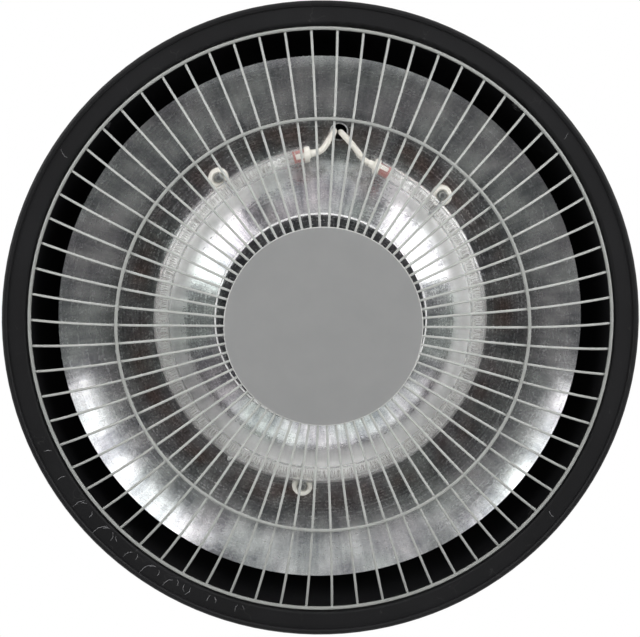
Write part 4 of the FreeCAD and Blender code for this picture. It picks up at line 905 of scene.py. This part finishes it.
def make_insulators():
    """Ceramic buttons with rounded edges and a groove, and a crumpled spring in the dish of each."""
    foot, top = LAMP_Z + 6.5, SEAT_Z - 0.05
    bore, groove, radius = 1.6, 6.5, 7.0
    spring, points, turn_step, mid_reach, sway, beat = 0.22, 90, 0.82, 2.3, 0.8, 0.31
    outline = [(bore, foot + 1.5), (3.6, foot + 1.5), (3.9, foot + 0.3), (4.5, foot), (6.3, foot + 0.35),
               (6.9, foot + 1.0), (radius, foot + 1.7), (radius, foot + 2.3), (groove, foot + 2.7),
               (groove, foot + 3.3), (radius, foot + 3.7), (radius, top - 0.5), (6.7, top), (bore, top)]
    chance = np.random.default_rng(9)
    buttons, springs = [], []
    for turn in INSULATORS:
        middle = around(INSULATOR_REACH, turn, 0)
        buttons.append(placed(spun(outline, 40), Matrix.Translation(middle)))
        line = []
        for number in range(points):
            angle = number * turn_step
            reach = mid_reach + sway * math.sin(number * beat) + chance.uniform(-0.25, 0.25)
            lift = foot + 0.75 + chance.uniform(-0.3, 0.3)
            line.append(middle + Vector((reach * math.cos(angle), reach * math.sin(angle), lift)))
        springs.append(swept(line, [spring] * len(line), 5)[:2])
    made("insulator_buttons", *joined(*buttons), CERAMIC, "heater", ["lamp_insulators"], "ceramic", sharp=35)
    made("insulator_springs", *joined(*springs), ZINC, "heater", slot="zinc", sharp=80, weld=False)


# Guard and hood

def make_welds():
    """Small flattened beads where each spoke is welded to the outer and the middle ring."""
    bead = spun([(0.01, -0.75), (0.75, -0.55), (1.15, 0.0), (0.75, 0.55), (0.01, 0.75)], 10)
    outer, middle = (193.6, -200.55, 45.0), (135.03, -231.26, 10.35)
    frames = []
    for number in range(SPOKES):
        turn = 90 + 360 / SPOKES * (number + SPOKE_PHASE)
        for reach, z, lean in (outer, middle):
            slope = math.radians(lean)
            axis = around(-math.sin(slope), turn, math.cos(slope))
            frames.append(facing(around(reach, turn, z), axis))
    scattered("guard_welds", bead, frames, WIRE_GREY, "heater", sharp=80)


def make_plate():
    """Middle plate with a rounded edge in a lighter enamel: partly wear, partly a painted highlight where the
    edge catches light.
    """
    low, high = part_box("guard_plate")
    reach, bottom, top = high[0] / MM, low[2] / MM, high[2] / MM
    middle, half = (bottom + top) / 2, (top - bottom) / 2
    rim, inner, nose = reach - 0.6, reach - 0.9, reach - 0.25
    disc = [(0.01, bottom), (rim, bottom), (rim, top), (0.01, top)]
    edge = [(rim, bottom), (nose, bottom + 0.06), (reach, middle), (nose, top - 0.06), (rim, top),
            (inner, middle + half * 0.5), (inner, middle - half * 0.5)]
    made("plate_disc", *spun(disc, 180), PLATE_GREY, "heater", ["guard_plate"], "plate", sharp=30)
    # Lighter edge ring: wear and a painted highlight
    made("plate_edge", *spun(edge, 180), WORN_AND_HIGHLIT_EDGE, "heater", slot="plate", sharp=50)


def make_rub_marks():
    """Hair marks on the brim, where fingers and wires rubbed the coat."""
    chance = np.random.default_rng(12)
    hood = nodes["hood"]
    below, sink, wobble, thin, thick = -260, Vector((0, 0, 0.02)), 0.22, 0.05, 0.12
    parts = []
    for turn, reach, length, bow, lean in RUB_MARKS:
        start = around(reach, turn, below)
        out = around(1, turn + lean, 0)
        across = Vector((-out.y, out.x, 0))
        line, radii = [], []
        for step in range(9):
            share = step / 8
            sway = bow * 0.5 * math.sin(math.pi * share * 1.2) + chance.uniform(-wobble, wobble)
            spot = start + out * (length * share) + across * sway
            found, place, _, _ = hood.ray_cast(spot * MM, Vector((0, 0, 1)))
            if found:
                line.append(place / MM - sink)
                swell = math.sin(math.pi * (0.1 + 0.85 * share))
                radii.append(thin + thick * swell * chance.uniform(0.5, 1.0))
        parts.append(swept(line, radii, 6)[:2])
    made("brim_rub_marks", *joined(*parts), RUBBED, "heater", slot="black_coat", sharp=80, weld=False)


finish_solids()
make_reflector()
make_tube()
make_filament()
make_seals()
make_plugs()
make_pinches()
make_leads()
make_pins()
make_insulators()
make_plate()
make_rub_marks()
make_welds()


# Stage: floor far below, soft boxes on the camera's side, white above

def make_floor():
    """Pale floor that shows white to the camera, apart from a part of the heater's shadow."""
    corners = [(-1, -1), (1, -1), (1, 1), (-1, 1)]
    mesh = bpy.data.meshes.new("floor")
    mesh.from_pydata([(x * FLOOR_HALF, y * FLOOR_HALF, FLOOR_Z) for x, y in corners], [], [(0, 1, 2, 3)])
    floor = stood("floor", mesh)
    pale, tree, skin, place = new_material("pale_floor")
    rays = put(tree, "ShaderNodeLightPath").outputs
    # Painted shade seen only in mirrors: in the reflector the floor is dark round the camera, more to its
    # sides than to the front and back
    shifted = vectors(tree, "ADD", place, (0.0, -0.2, -FLOOR_Z))
    drawn = vectors(tree, "MULTIPLY", shifted, (0.6, 1.25, 0.0))
    away = vectors(tree, "LENGTH", drawn, out="Value")
    tone = ramped(tree, away, (0.42, "#464644"), (1.0, "#dededc"))
    feed(tree, skin, {"Base Color": mixed(tree, rays["Is Glossy Ray"], "#d8d8d6", tone), "Roughness": 0.9})
    # The share of white that the camera sees grows from close below the heater to the edge
    far = vectors(tree, "DISTANCE", place, (0.0, 0.0, FLOOR_Z), out="Value")
    seen = sums(tree, "MULTIPLY", rays["Is Camera Ray"], spread(tree, far, (1.0, 3.6), (0.75, 1.0)))
    glow = put(tree, "ShaderNodeEmission", {"Color": (1, 1, 1, 1), "Strength": 1.0})
    surfaced(tree, seen, skin.outputs["BSDF"], glow.outputs["Emission"])
    mesh.materials.append(pale)


def make_world():
    """White to the camera and through glass; dim below and bright above in mirrors; dim to the rest."""
    dim = 0.12
    world = bpy.data.worlds.new("studio")
    bpy.context.scene.world = world
    world.use_nodes = True
    tree = world.node_tree
    rays = put(tree, "ShaderNodeLightPath").outputs
    seen = sums(tree, "MAXIMUM", rays["Is Camera Ray"], rays["Is Transmission Ray"])
    way = put(tree, "ShaderNodeTexCoord").outputs["Generated"]
    up = put(tree, "ShaderNodeSeparateXYZ", {"Vector": way}).outputs["Z"]
    low = spread(tree, up, (-0.6, -0.35), (dim, 0.42))
    high = spread(tree, up, (-0.34, -0.2), (0.0, 0.58))
    mirrored = sums(tree, "ADD", low, high)
    glossy = put(tree, "ShaderNodeMix", {"Factor": rays["Is Glossy Ray"], "A": dim, "B": mirrored},
                 data_type="FLOAT").outputs["Result"]
    level = put(tree, "ShaderNodeMix", {"Factor": seen, "A": glossy, "B": 1.0}, data_type="FLOAT")
    feed(tree, tree.nodes["Background"], {"Color": (1, 1, 1, 1), "Strength": level.outputs["Result"]})


def make_lights():
    """Area lights that face the reflector; the fills don't show in it."""
    goal = Vector(LIGHTS_GOAL)
    for name, turn, dip, away, width, height, glow in LIGHTS:
        light = bpy.data.lights.new(name, "AREA")
        light.shape = "RECTANGLE"
        light.size = width
        light.size_y = height
        light.energy = glow * math.pi * width * height
        lamp = stood(name, light)
        level, drop = math.sin(math.radians(dip)), math.cos(math.radians(dip))
        lamp.location = goal + around(away * level, turn, -away * drop)
        lamp.rotation_mode = "QUATERNION"
        lamp.rotation_quaternion = (goal - lamp.location).to_track_quat("-Z", "Y")
        lamp.visible_camera = False
        lamp.visible_glossy = not name.startswith("fill")


def make_camera():
    """Below the heater, a little towards its front, aimed at the middle of the rim."""
    eye = bpy.data.cameras.new("camera")
    eye.lens = 126.0
    eye.sensor_width = 36.0
    eye.clip_end = 100.0
    camera = stood("camera", eye)
    goal = Vector((-0.0012, -0.0022, (RIM_Z + 2.0) * MM))
    stand_off = Vector((-0.05, -0.147, -1.485))
    camera.location = goal + stand_off
    back = (camera.location - goal).normalized()
    up = Vector((0.0, -1.0, 0.0))
    across = up.cross(back).normalized()
    up = back.cross(across)
    camera.rotation_mode = "QUATERNION"
    camera.rotation_quaternion = Matrix((across, up, back)).transposed().to_quaternion()
    bpy.context.scene.camera = camera


make_floor()
make_world()
make_lights()
make_camera()
bpy.context.scene.view_settings.view_transform = "Standard"
